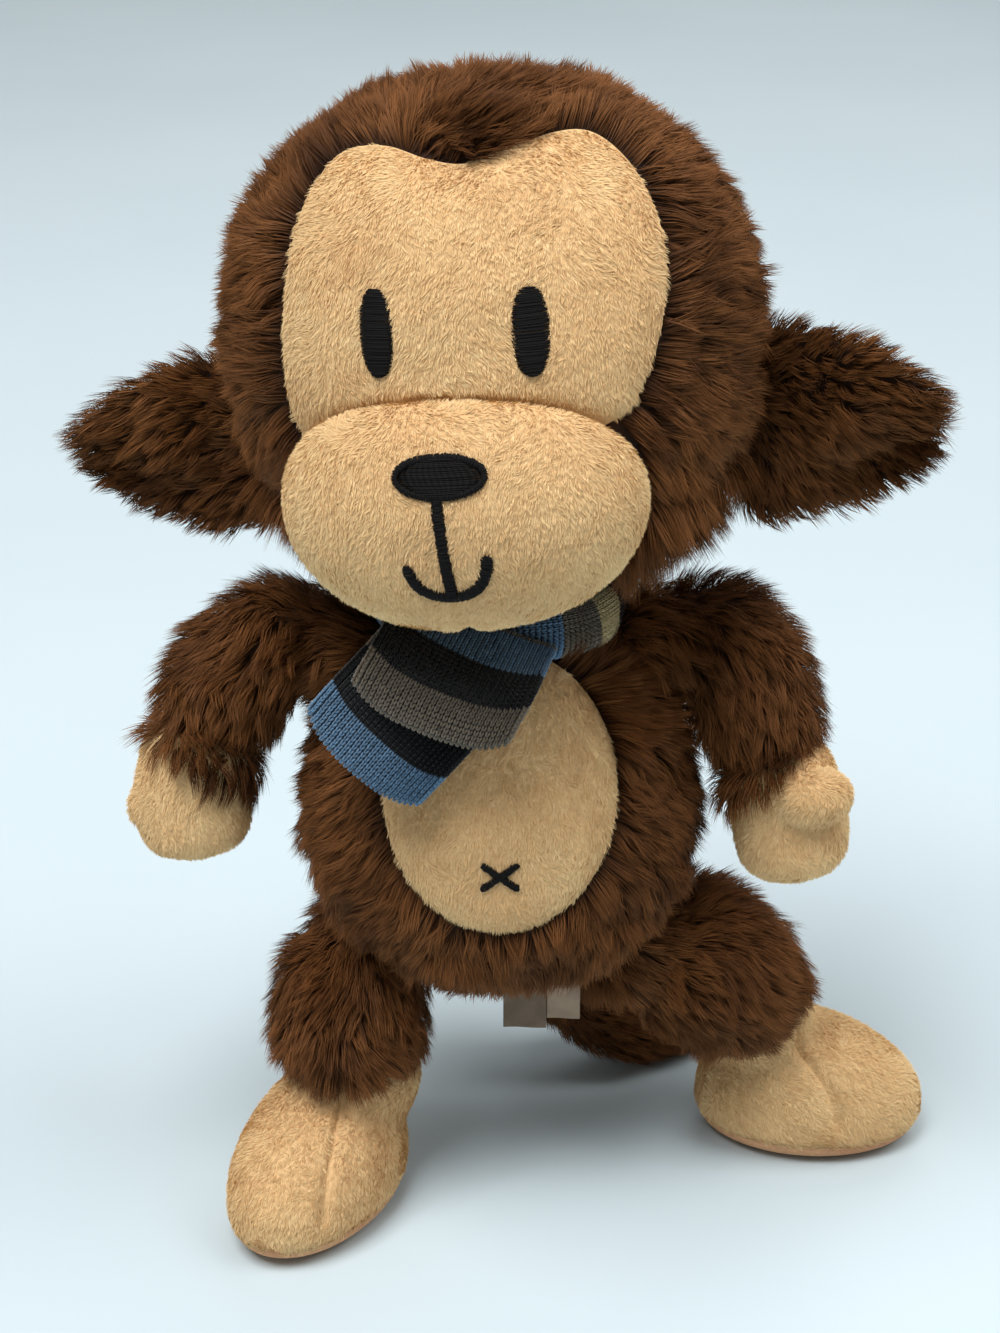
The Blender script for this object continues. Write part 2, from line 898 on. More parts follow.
@dataclass(frozen=True)
class Coat:
    """How hair grows: its density, length and width, how it stands and how it gathers in tufts."""

    density: float
    length: float
    width: float
    stand: float
    fall: float
    tuft: float
    gather: float
    swirl: float
    ragged: float
    seed: int
    stations: tuple[float, ...] = (0.0, 0.5, 1.0)
    lump: float = 16.0
    heave: float = 0.2
    stray: float = 0.3
    cut: Pair = (0.75, 1.08)
    lean: float = 0.13
    stray_lean: Pair = (0.08, 0.09)
    patch: float = 38.0
    tones: Spot = (0.16, 0.11, 0.09)

    def grow(self, name: str, skin: Skin, comb: Comb, keep: Keep) -> Piece:
        """Grows a coat on a surface.

        Args:
            name: the piece's name.
            skin: the surface.
            comb: gives the way that the hair is combed at each root.
            keep: says which roots carry hair.

        Returns:
            The coat as one piece of flat, tapering hairs.
        """
        rng = np.random.default_rng(self.seed)
        roots, normals = skin.scatter(self.density, rng)
        kept = keep(roots)
        roots, normals = roots[kept], normals[kept]
        count = len(roots)
        chosen = rng.choice(count, max(4, int(count / (self.density * self.tuft**2))), replace=False)
        tuft = nearest(roots[chosen], roots)
        spread = lambda size: rng.normal(0, size, len(chosen))[tuft]
        along = flattened(comb(roots, normals), normals)
        turn = (spread(self.swirl) + rng.normal(0, self.stray * self.swirl, count))[:, None]
        along = along * np.cos(turn) + np.cross(normals, along) * np.sin(turn)
        length = self.length * (1 + spread(self.ragged)) * rng.uniform(*self.cut, count)
        heave = self.heave * ripple(roots, self.lump, self.seed + 9)
        stand, fall = (np.radians(angle) - heave + spread(self.lean) + rng.normal(0, stray, count)
                       for angle, stray in zip((self.stand, self.fall), self.stray_lean))
        shares = np.array(self.stations)
        path = [roots]
        for k in range(1, len(shares)):
            angle = (stand + (fall - stand) * (shares[k] + shares[k - 1]) / 2)[:, None]
            step = (length * (shares[k] - shares[k - 1]))[:, None]
            path.append(path[-1] + step * (normals * np.cos(angle) + along * np.sin(angle)))
        path = np.stack(path, 1)
        tips = path[:, -1]
        size = np.maximum(np.bincount(tuft, minlength=len(chosen)), 1)
        middle = np.stack([np.bincount(tuft, tips[:, k], len(chosen)) / size for k in range(3)], -1)
        path = path + ((middle[tuft] - tips) * self.gather)[:, None] * (shares**1.5)[None, :, None]
        path[..., 2] = np.maximum(path[..., 2], FLOOR)
        broad, tufted, single = self.tones
        tone = 0.5 + broad * ripple(roots, self.patch, self.seed + 5) + spread(tufted)
        tone += rng.normal(0, single, count)
        return self.ribbons(name, path, normals, np.clip(tone, 0.04, 0.96), rng)

    def ribbons(self, name: str, path: Array, normals: Array, tone: Array,
                rng: np.random.Generator) -> Piece:
        """Hairs along paths, as ribbons that face outwards and end in a point.

        Args:
            name: the piece's name.
            path: the places along each hair.
            normals: the surface's normal at each root.
            tone: each hair's tone, from 0 to 1.
            rng: where the random numbers come from.

        Returns:
            The hairs as one piece.
        """
        count, stops = path.shape[:2]
        ahead = unit(path[:, -1] - path[:, 0])
        side = unit(np.cross(ahead, normals) + 1e-6)
        lift = np.cross(side, ahead)
        roll = rng.normal(0, 0.5, count)[:, None]
        side = side * np.cos(roll) + lift * np.sin(roll)
        shares = np.array(self.stations)
        taper = np.interp(shares[:-1], [0, 0.4, 1], [0.8, 1.0, 0.3])
        wide = self.width / 2 * rng.uniform(0.7, 1.2, count)
        edge = side[:, None] * (wide[:, None] * taper[None])[..., None]
        pairs = np.stack([path[:, :-1] - edge, path[:, :-1] + edge], 2)
        points = np.concatenate([pairs.reshape(count, -1, 3), path[:, -1:]], 1)
        margin = 0.015
        flat = np.stack([np.repeat([[-margin, margin]], stops - 1, 0),
                         np.repeat(0.02 + 0.96 * shares[:-1, None], 2, 1)], -1).reshape(-1, 2)
        flat = np.concatenate([flat, [[0.0, 0.98]]])
        uvs = np.repeat(flat[None], count, 0)
        uvs[..., 0] += tone[:, None]
        each = points.shape[1]
        base = (np.arange(count) * each)[:, None]
        blocks = [base + 2 * k + np.array([[0, 1, 3, 2]]) for k in range(stops - 2)]
        blocks.append(base + 2 * (stops - 2) + np.array([[0, 1, 2]]))
        return new_piece(name, points.reshape(-1, 3), blocks, uvs.reshape(-1, 2))


def nearest(targets: Array, points: Array) -> Array:
    """The number of the target nearest each point.

    Args:
        targets: the targets' places.
        points: places, one a row.

    Returns:
        One number a point.
    """
    tree = KDTree(len(targets))
    for number, target in enumerate(targets):
        tree.insert(target, number)
    tree.balance()
    return np.array([tree.find(point)[1] for point in points])


LONG_FUR = Coat(density=3.0, length=11.2, width=0.27, stand=34, fall=82, tuft=2.6, gather=0.26, swirl=0.27,
                ragged=0.09, seed=101)
SHORT_NAP = Coat(density=5.0, length=1.7, width=0.36, stand=45, fall=76, tuft=1.3, gather=0.25, swirl=0.32,
                 ragged=0.1, seed=301, stations=(0.0, 1.0), lump=7.0, heave=0.08)


# Panels and thread


def ellipse(width: float, height: float, x: float = 0.0, z: float = 0.0, count: int = 96,
            blunt: float = 1.0) -> Array:
    """Points round an ellipse, seen from the front, with blunter ends below a power of 1.

    Args:
        width: its width.
        height: its height.
        x: its middle, across.
        z: its middle, up.
        count: how many points.
        blunt: the power.

    Returns:
        The points.
    """
    turn = np.linspace(0, 2 * math.pi, count, endpoint=False)
    wave = lambda value: np.sign(value) * np.abs(value) ** blunt
    return np.c_[x + width / 2 * wave(np.cos(turn)), z + height / 2 * wave(np.sin(turn))]


def loop(knots: Sequence[Pair], each: int = 9) -> Array:
    """Points along a smooth closed line through knots.

    Args:
        knots: the knots, in order.
        each: points from knot to knot.

    Returns:
        The points.
    """
    spots = np.array(knots, float)
    t = np.linspace(0, 1, each, endpoint=False)[:, None]
    runs = []
    for k in range(len(spots)):
        a, b, c, d = (spots[(k + step) % len(spots)] for step in (-1, 0, 1, 2))
        runs.append(curve(a, b, c, d, t))
    return np.concatenate(runs)


def within(outline: Array, x: Array, z: Array) -> Array:
    """Whether places seen from the front are inside a closed outline.

    Args:
        outline: the outline's points.
        x: the places, across.
        z: the places, up.

    Returns:
        One answer a place.
    """
    inside = np.zeros(len(x), bool)
    for (ax, az), (bx, bz) in zip(outline, np.roll(outline, -1, 0)):
        if az == bz:
            continue
        crosses = (az > z) != (bz > z)
        inside ^= crosses & (x < ax + (z - az) * (bx - ax) / (bz - az))
    return inside


def scaled(outline: Array, by: float) -> Array:
    """An outline moved out by a distance, about its middle."""
    middle = outline.mean(0)
    return outline + unit(outline - middle) * by


def panel_faces(rings: int, sides: int) -> list[Array]:
    """Faces of a round panel, a middle point and then rings of points, turned to face outwards."""
    walls, caps = closed_rings(rings, sides)
    return [walls[:, [0, 3, 2, 1]], caps[:sides, [0, 2, 1]]]


@dataclass(frozen=True)
class Panel:
    """A cut panel of cloth that lies on a form's front, with its edge turned under."""

    form: Ovoid
    rise: float
    rings: int = 26
    heave: float = 0.35
    lump: float = 26.0

    def piece(self, name: str, outline: Array, middle: Pair, stance: Stance) -> Piece:
        """Lays the panel on its form.

        Args:
            name: the piece's name.
            outline: the panel's edge, seen from the front, turning from X to Z.
            middle: a place from which all of the edge is seen.
            stance: where the form stands.

        Returns:
            The panel, facing outwards.
        """
        share = (np.arange(1, self.rings + 1) / self.rings) ** 0.8
        spots = np.array(middle) + share[:, None, None] * (outline - np.array(middle))[None]
        flat = np.concatenate([[middle], spots.reshape(-1, 2)])
        inset = np.concatenate([[0.0], np.repeat(share, len(outline))])
        height = self.rise * (1 - inset**12)
        height += self.heave * ripple(np.c_[flat, np.zeros(len(flat))], self.lump, 17) * (1 - inset**4)
        x, z = flat.T
        shell = 10.0
        low, high = self.form.front(x, z), self.form.grown(shell).front(x, z)
        points = np.stack([x, low + (high - low) * height / shell, z], -1)
        return new_piece(name, stance.out(points), panel_faces(self.rings, len(outline)))


class Front:
    """The front of finished pieces, on which thread is laid."""

    def __init__(self, pieces: Sequence[Piece], stance: Stance) -> None:
        """Reads the pieces' shapes.

        Args:
            pieces: the pieces.
            stance: which way their front faces.
        """
        points, faces = [], []
        for piece in pieces:
            skin = Skin.of(piece)
            faces += (skin.triangles + sum(len(p) for p in points)).tolist()
            points.append(skin.points)
        self.stance = stance
        self.tree = BVHTree.FromPolygons(np.concatenate(points).tolist(), faces)

    def at(self, spots: Array) -> tuple[Array, Array]:
        """Places and normals on the front at spots seen from the front.

        Args:
            spots: across and up, one a row.

        Returns:
            The places and the normals.
        """
        start = self.stance.out(np.c_[spots[:, 0], np.full(len(spots), -200.0), spots[:, 1]])
        way = Vector(self.stance.turned(np.array([0.0, 1.0, 0.0])))
        hits = [self.tree.ray_cast(Vector(point), way) for point in start]
        return np.array([h[0] for h in hits]), np.array([h[1] for h in hits])


@dataclass(frozen=True)
class Satin:
    """Satin stitch: threads laid side by side from one edge of a shape to the other."""

    pitch: float = 0.4
    thick: float = 0.54
    rise: float = 1.1
    sides: int = 6
    stops: int = 7

    def piece(self, name: str, stitches: Array, front: Front, seed: int) -> Piece:
        """Lays threads on a front.

        Args:
            name: the piece's name.
            stitches: the two ends of each thread, seen from the front.
            front: what they are laid on.
            seed: which small irregularities they have.

        Returns:
            The threads as one piece.
        """
        rng = np.random.default_rng(seed)
        count = len(stitches)
        stitches = stitches + rng.normal(0, 0.09, stitches.shape)
        share = np.linspace(0, 1, self.stops)
        start, end = stitches[:, None, 0], stitches[:, None, 1]
        spots = start * (1 - share)[:, None] + end * share[:, None]
        place, normal = front.at(spots.reshape(-1, 2))
        place, normal = place.reshape(count, -1, 3), normal.reshape(count, -1, 3)
        normal = unit(normal.mean(1, keepdims=True)).repeat(self.stops, 1)
        arch = self.rise * (0.25 + 0.75 * (1 - np.abs(2 * share - 1) ** 3.5))
        lift = arch[None] * rng.uniform(0.86, 1.08, count)[:, None]
        line = place + normal * lift[..., None]
        way = unit(np.gradient(line, axis=1))
        side = unit(np.cross(way, normal))
        girth = self.thick / 2 * np.where(np.abs(2 * share - 1) > 0.99, 0.5, 1.0)
        ring = around(side, np.cross(side, way), self.sides)
        body = line[:, :, None] + ring * girth[None, :, None, None]
        points = np.concatenate([line[:, :1], body.reshape(count, -1, 3), line[:, -1:]], 1)
        each = points.shape[1]
        faces = [np.concatenate([block + k * each for k in range(count)])
                 for block in closed_rings(self.stops, self.sides)]
        along = np.concatenate([[0.0], np.repeat(share, self.sides), [1.0]])
        round_it = np.concatenate([[0.5], np.tile(np.arange(self.sides) / self.sides, self.stops), [0.5]])
        row = np.repeat(np.arange(count)[:, None], each, 1) / count
        along = 0.01 + 0.98 * np.repeat(along[None], count, 0)
        uvs = np.stack([along, row + round_it[None] * 0.9 / count], -1)
        return new_piece(name, points.reshape(-1, 3), faces, uvs.reshape(-1, 2))

    def rows(self, outline: Array) -> Array:
        """Level threads across a closed outline, from its bottom to its top.

        Args:
            outline: the outline's points.

        Returns:
            Each thread's two ends.
        """
        low, high = outline[:, 1].min(), outline[:, 1].max()
        found = []
        for level in np.arange(low + self.pitch / 2, high, self.pitch):
            ends = []
            for (ax, az), (bx, bz) in zip(outline, np.roll(outline, -1, 0)):
                if (az > level) != (bz > level):
                    ends.append(ax + (level - az) * (bx - ax) / (bz - az))
            if len(ends) > 1:
                found.append([[min(ends), level], [max(ends), level]])
        return np.array(found)

    def across(self, line: Array, width: float, ends: bool = True) -> Array:
        """Threads square to a line, with round ends if it is open.

        Args:
            line: the line's points.
            width: how long the threads are.
            ends: whether the line is open.

        Returns:
            Each thread's two ends.
        """
        run = run_along(line)
        even = np.arange(self.pitch / 2, run[-1], self.pitch)
        spots = between(line, run, even)
        way = unit(np.gradient(spots, axis=0))
        aside = np.c_[-way[:, 1], way[:, 0]]
        half = np.full(len(even), width / 2)
        if ends:
            edge = np.minimum(even, run[-1] - even)
            half *= np.sqrt(np.clip(1 - (1 - np.minimum(edge / (width / 2), 1)) ** 2, 0.12, 1))
        return np.stack([spots - aside * half[:, None], spots + aside * half[:, None]], 1)


# Combs and limbs


def swirls(points: Array, strength: float, seed: int, wave: float = 34.0) -> Array:
    """A smooth random direction at each point."""
    return strength * np.stack([ripple(points, wave, seed + k) for k in range(3)], -1)


def downwards(swirl: float, seed: int = 11) -> Comb:
    """A comb that lays the hair down, with swirls.

    Args:
        swirl: how far it swirls.
        seed: which random swirls it has.

    Returns:
        The comb.
    """

    def comb(points: Array, normals: Array) -> Array:
        """Down, with short swirls."""
        return DOWN + swirls(points, swirl, seed, 14.0)

    return comb


def down_limb(tube: Tube, follow: float, drop: float, swirl: float, seed: int) -> Comb:
    """A comb that lays the hair along a limb.

    Args:
        tube: the limb.
        follow: how far the hair follows its spine.
        drop: how far it falls.
        swirl: how far it swirls.
        seed: which random swirls it has.

    Returns:
        The comb.
    """

    def comb(points: Array, normals: Array) -> Array:
        """Along the spine and down."""
        way, _ = tube.nearest(points)
        return way * follow + DOWN * drop + swirls(points, swirl, seed)

    return comb


def sewn_limb(body: str, skin: tuple[Array, list[Array]], root: Ovoid, stuffing: Stuffing,
              wardrobe: Wardrobe) -> Piece:
    """Sews a limb's sleeve to the ball at its root, and stuffs and dresses it.

    Args:
        body: the limb's body.
        skin: the sleeve's points and faces.
        root: the ball.
        stuffing: how the limb is filled.
        wardrobe: the toy's finishes.

    Returns:
        The stuffed sleeve.
    """
    sleeve = joined([new_piece(f"{body}_stuffed", *skin), ball_piece("root", root)])
    stuffing.fill(sleeve)
    settle(sleeve, body, wardrobe.hide, [f"{body}_fur"])
    return sleeve


SLEEVE_STUFFING = Stuffing(voxel=4.0, cap=1.5, smooth=6)


# The toy's sub-assemblies


@dataclass
class Torso:
    """The stuffed body with its fur, belly panel and navel stitch."""

    wardrobe: Wardrobe
    form: Ovoid = Ovoid(110, 93, 124, 0.16, (0.0, 0.0, 135.0))
    belly_size: Pair = (66.0, 79.0)
    belly_middle: float = 147.5
    navel: Pair = (0.0, 128.0)
    navel_size: Pair = (10.4, 8.0)
    navel_stroke: float = 2.1
    neck_hole: float = 32.0
    neck_low: float = 150.0
    comb_from: Spot = (0.0, -46.0, 157.5)
    shoulder_low: float = 172.0
    collar: Pair = (36.5, 54.0)
    collar_low: float = 158.0
    collar_back: float = 15.0
    scarf_edges: Pair = (-42.0, 8.0)

    def build(self) -> None:
        """Builds and dresses the body."""
        core = Stuffing().fill(ball_piece("torso_stuffed", self.form.grown(-0.5)))
        settle(core, "torso", self.wardrobe.hide, ["torso_fur"])
        outline = ellipse(*self.belly_size, 0.0, self.belly_middle)
        belly = Panel(self.form, 2.4, 18).piece("belly_cloth", outline, (0.0, self.belly_middle), UPRIGHT)
        settle(belly, "torso", self.wardrobe.tan, ["belly_panel"])
        self.fur(core, outline)
        threads = self.stitch(belly)
        self.nap(belly, threads)

    def fur(self, core: Piece, outline: Array) -> None:
        """Grows the body's long fur, combed down and away from the belly.

        Args:
            core: the stuffed body.
            outline: the belly's edge.
        """

        def comb(points: Array, normals: Array) -> Array:
            """Away from the belly, and down below the shoulders."""
            high = np.clip((points[:, 2] - self.shoulder_low) / 10, 0, 1)[:, None]
            away = unit(points - np.array(self.comb_from)) * 0.7
            return away + DOWN * 0.75 * (1 - high) + swirls(points, 0.35, 7)

        def from_neck(points: Array) -> Array:
            """How far each point lies from the neck's middle."""
            return np.hypot(points[:, 0], points[:, 1] / NECK_SQUASH)

        def keep(points: Array) -> Array:
            """Off the belly, and outside the neck's seam."""
            x, y, z = points.T
            bare = within(scaled(outline, -0.8), x, z) & (y < 0)
            return ~bare & ((from_neck(points) > self.neck_hole) | (z < self.neck_low))

        skin = Skin.of(core)
        front = lambda points: keep(points) & (points[:, 1] < 0.0)
        back = lambda points: keep(points) & (points[:, 1] >= 0.0)
        for name, part in (("torso_front_coat", front), ("torso_back_coat", back)):
            settle(LONG_FUR.grow(name, skin, comb, part), "torso", self.wardrobe.fur)

        def collar(points: Array) -> Array:
            """Round the neck on the shoulders, beside the scarf's ends."""
            x, y, z = points.T
            far = from_neck(points)
            round_neck = (far > self.collar[0]) & (far < self.collar[1])
            beside = (x > self.scarf_edges[1]) | (x < self.scarf_edges[0])
            return keep(points) & round_neck & beside & (z > self.collar_low) & (y < self.collar_back)

        tall = replace(LONG_FUR, length=12.5, stand=4, fall=38, seed=111)
        settle(tall.grow("torso_collar_coat", skin, comb, collar), "torso", self.wardrobe.fur)

    def stitch(self, belly: Piece) -> Array:
        """Sews the navel's cross.

        Args:
            belly: the belly's cloth.

        Returns:
            The middle of each thread, across and up.
        """
        front = Front([belly], UPRIGHT)
        satin = Satin()
        (x, z), (w, h) = self.navel, self.navel_size
        bars = []
        for way in (1, -1):
            line = np.array([[x - w / 2, z - way * h / 2], [x + w / 2, z + way * h / 2]])
            bars.append(satin.across(line, self.navel_stroke))
        cross = satin.piece("navel_threads", np.concatenate(bars), front, 41)
        settle(cross, "torso", self.wardrobe.thread, ["navel_stitch"])
        return np.concatenate(bars).mean(1)

    def nap(self, belly: Piece, threads: Array) -> None:
        """Grows the belly's short pile, clear of the navel.

        Args:
            belly: the belly's cloth.
            threads: the middle of each navel thread.
        """

        def keep(points: Array) -> Array:
            """Clear of the threads."""
            gap = np.linalg.norm(points[:, None, [0, 2]] - threads[None], axis=-1).min(1)
            return gap > self.navel_stroke / 2 - 0.2

        coat = SHORT_NAP.grow("belly_nap", Skin.of(belly), downwards(0.5), keep)
        settle(coat, "torso", self.wardrobe.nap)


@dataclass
class Head:
    """The stuffed head with its fur, face, muzzle and embroidery."""

    wardrobe: Wardrobe
    stance: Stance = Stance((-2.0, -5.0, 273.0), -7.0, -5.0)
    form: Ovoid = Ovoid(141, 124, 133)
    muzzle_form: Ovoid = Ovoid(93, 62, 66, 0.0, (-3.0, -52.0, -28.0))
    face_edge: tuple[Pair, ...] = (
        (37.5, -9.0), (44.0, -1.5), (48.5, 8.5), (50.8, 20.0), (50.8, 31.0), (47.2, 42.0), (41.0, 51.0),
        (32.5, 57.2), (23.0, 58.6), (11.0, 56.6), (2.0, 55.0), (-7.0, 56.2), (-17.5, 58.4), (-27.0, 57.6),
        (-35.0, 53.4), (-42.5, 41.5), (-46.8, 22.0), (-48.0, 3.0), (-46.0, -9.0), (-38.0, -19.0),
        (0.0, -27.0))
    eye_spots: tuple[Pair, ...] = ((18.6, 17.6), (-20.0, 18.8))
    eye_sizes: tuple[Pair, ...] = ((9.2, 21.4), (8.6, 21.4))
    nose_spot: Pair = (-4.2, -12.2)
    nose_size: Pair = (24.0, 10.8)
    nose_rim: float = 1.7
    mouth_top: Pair = (-5.2, -17.0)
    mouth_foot: Pair = (-3.7, -43.6)
    mouth_ends: tuple[Pair, ...] = ((-14.2, -34.0), (6.2, -31.8))
    mouth_stroke: float = 3.0
    puff: float = 3.0
    comb_from: Spot = (0.0, -50.0, 6.0)
    lock_middle: Pair = (2.0, 58.0)
    lock_size: Pair = (13.0, 6.0)
    lock_turn: float = 2.2
    ear_line: float = 8.0
    cheek_top: float = -32.0
    cheek_inner: float = 32.0
    cheek_front: float = -48.0
    cheek_rear: Pair = (4.0, 7.0)

    def build(self) -> None:
        """Builds and dresses the head."""
        core = Stuffing().fill(ball_piece("head_stuffed", self.form.grown(-0.5), self.stance))
        settle(core, "head", self.wardrobe.hide, ["head_fur"])
        outline = loop(self.face_edge)
        face = Panel(self.form, 2.4).piece("face_cloth", outline, (0.0, 4.0), self.stance)
        settle(face, "head", self.wardrobe.tan, ["face_panel"])
        self.tuck(face)
        muzzle = ball_piece("muzzle_stuffed", self.muzzle_form.grown(-0.4), self.stance)
        muzzle = Stuffing(voxel=3.0, cap=1.2).fill(muzzle)
        self.chin(muzzle)
        settle(muzzle, "head", self.wardrobe.tan, ["muzzle_panel"])
        bare = self.sew(face, muzzle)
        self.fur(core, outline)
        self.nap(face, muzzle, bare)

    def tuck(self, face: Piece) -> None:
        """Draws the face in along the muzzle's seam.

        Args:
            face: the face's cloth.
        """
        points = self.stance.back(places(face))
        points[:, 1] += 1.6 * np.exp(-np.maximum(self.muzzle_form.outside(points), 0.0) / 1.8)
        set_places(face, self.stance.out(points))

    def chin(self, muzzle: Piece) -> None:
        """Puffs the muzzle out from its seam, and draws the chin's short seam in.

        Args:
            muzzle: the stuffed muzzle.
        """
        skin = Skin.of(muzzle)
        points = self.stance.back(skin.points)
        far = np.maximum(self.form.grown(2.0).outside(points), 0.0)
        rise = self.puff * (1 - np.exp(-far / 1.7)) - 1.4
        points = self.stance.back(skin.points + skin.normals * rise[:, None])
        aside = points[:, 0] + 3.0
        under = np.clip((-44 - points[:, 2]) / 6, 0, 1) * (points[:, 1] < -45)
        points[:, 2] += 1.1 * np.exp(-((aside / 2.0) ** 2)) * under
        points[:, 1] += 1.0 * np.exp(-((aside / 2.2) ** 2)) * under
        set_places(muzzle, self.stance.out(points))

    def sew(self, face: Piece, muzzle: Piece) -> list[Array]:
        """Embroiders the eyes, nose and mouth.

        Args:
            face: the face's cloth.
            muzzle: the stuffed muzzle.

        Returns:
            The outlines that they cover.
        """
        satin = Satin()
        on_face, on_muzzle = Front([face], self.stance), Front([muzzle], self.stance)
        covered = []
        for side, spot, size in zip(Side, self.eye_spots, self.eye_sizes):
            outline = ellipse(*size, *spot, blunt=0.82)
            eye = satin.piece(f"eye_{side.word}_threads", satin.rows(outline), on_face, 43 + side.value)
            settle(eye, "head", self.wardrobe.thread, [f"eye_{side.word}"])
            covered.append(outline)
        outline = ellipse(*self.nose_size, *self.nose_spot)
        wide, tall = self.nose_size
        inner = ellipse(wide - 1.6, tall - 1.6, *self.nose_spot)
        rim = ellipse(wide - self.nose_rim, tall - self.nose_rim, *self.nose_spot)
        rim = np.concatenate([rim, rim[:1]])
        threads = np.concatenate([satin.rows(inner), satin.across(rim, self.nose_rim, ends=False)])
        nose = satin.piece("nose_threads", threads, on_muzzle, 47)
        settle(nose, "head", self.wardrobe.thread, ["nose"])
        covered.append(outline)
        t = np.linspace(0, 1, 24)[:, None]
        foot = np.array(self.mouth_foot)
        stem = np.array([self.mouth_top, self.mouth_foot])

        def hook(end: Pair) -> Array:
            """One half of the smile, from its end to the foot of the stem."""
            bend = np.array([end[0] * 0.92 + foot[0] * 0.08, foot[1] - 0.2])
            return np.array(end) * (1 - t) ** 2 + bend * 2 * t * (1 - t) + foot * t**2

        smile = np.concatenate([hook(self.mouth_ends[0]), hook(self.mouth_ends[1])[::-1][1:]])
        strokes = [satin.across(line, self.mouth_stroke) for line in (stem, smile)]
        mouth = satin.piece("mouth_threads", np.concatenate(strokes), on_muzzle, 53)
        settle(mouth, "head", self.wardrobe.thread, ["mouth"])
        covered += [np.concatenate([ends[:, 0], ends[::-1, 1]]) for ends in strokes]
        return covered

    def fur(self, core: Piece, outline: Array) -> None:
        """Grows the head's long fur, combed away from the face and down.

        Args:
            core: the stuffed head.
            outline: the face's edge.
        """

        def comb(points: Array, normals: Array) -> Array:
            """Away from the face and down, with the lock over its notch swept aside."""
            local = self.stance.back(points)
            x, y, z = local.T
            aside = (x - self.lock_middle[0]) / self.lock_size[0]
            high = (z - self.lock_middle[1]) / self.lock_size[1]
            lock = np.exp(-(aside**2) - high**2) * (y < 0)
            turn = (self.lock_turn * lock)[:, None]
            away = unit(local - np.array(self.comb_from))
            away = away * np.cos(turn) + np.array([1.0, 0.0, 0.0]) * np.sin(turn)
            fall = DOWN * 0.3 * (1 - lock[:, None])
            return self.stance.turned(away) + fall + swirls(points, 0.3, 23)

        def keep(points: Array) -> Array:
            """Off the face and the muzzle."""
            local = self.stance.back(points)
            bare = within(scaled(outline, -0.6), local[:, 0], local[:, 2]) & (local[:, 1] < 0)
            return ~bare & ~self.muzzle_form.grown(0.5).holds(local)

        skin = Skin.of(core)
        ahead = lambda points: self.stance.back(points)[:, 1] < self.ear_line
        upper = lambda points: self.stance.back(points)[:, 2] > 0.0
        front = lambda points: keep(points) & ahead(points)
        crown = lambda points: keep(points) & ~ahead(points) & upper(points)
        nape = lambda points: keep(points) & ~ahead(points) & ~upper(points)
        for name, part in (("head_front_coat", front), ("head_crown_coat", crown), ("head_nape_coat", nape)):
            settle(LONG_FUR.grow(name, skin, comb, part), "head", self.wardrobe.fur)

        def low(points: Array) -> Array:
            """On the cheeks, with a ragged edge towards the nape."""
            x, y, z = self.stance.back(points).T
            rear = self.cheek_rear[0] + self.cheek_rear[1] * ripple(points, 5.0, 31)
            cheek = (z < self.cheek_top) & (np.abs(x) > self.cheek_inner)
            return keep(points) & cheek & (y > self.cheek_front) & (y < rear)

        hang = lambda points, normals: DOWN + swirls(points, 0.3, 29)
        cheeks = replace(LONG_FUR, density=3.6, length=17.0, stand=8, fall=46, seed=121)
        settle(cheeks.grow("head_cheek_coat", skin, hang, low), "head", self.wardrobe.fur)

    def nap(self, face: Piece, muzzle: Piece, covered: Sequence[Array]) -> None:
        """Grows the face's and muzzle's short pile, clear of the embroidery.

        Args:
            face: the face's cloth.
            muzzle: the stuffed muzzle.
            covered: the outlines that the embroidery covers.
        """

        def clear(points: Array) -> Array:
            """Off the embroidery."""
            local = self.stance.back(points)
            free = np.ones(len(points), bool)
            for outline in covered:
                free &= ~within(scaled(outline, -0.2), local[:, 0], local[:, 2])
            return free | (local[:, 1] > -30)

        def on_face(points: Array) -> Array:
            """Clear, and outside the muzzle."""
            return clear(points) & ~self.muzzle_form.grown(0.5).holds(self.stance.back(points))

        def on_muzzle(points: Array) -> Array:
            """Clear, and outside the head."""
            return clear(points) & ~self.form.grown(1.0).holds(self.stance.back(points))

        for name, cloth, keep in (("face_nap", face, on_face), ("muzzle_nap", muzzle, on_muzzle)):
            coat = SHORT_NAP.grow(name, Skin.of(cloth), downwards(0.45, 61), keep)
            settle(coat, "head", self.wardrobe.nap)


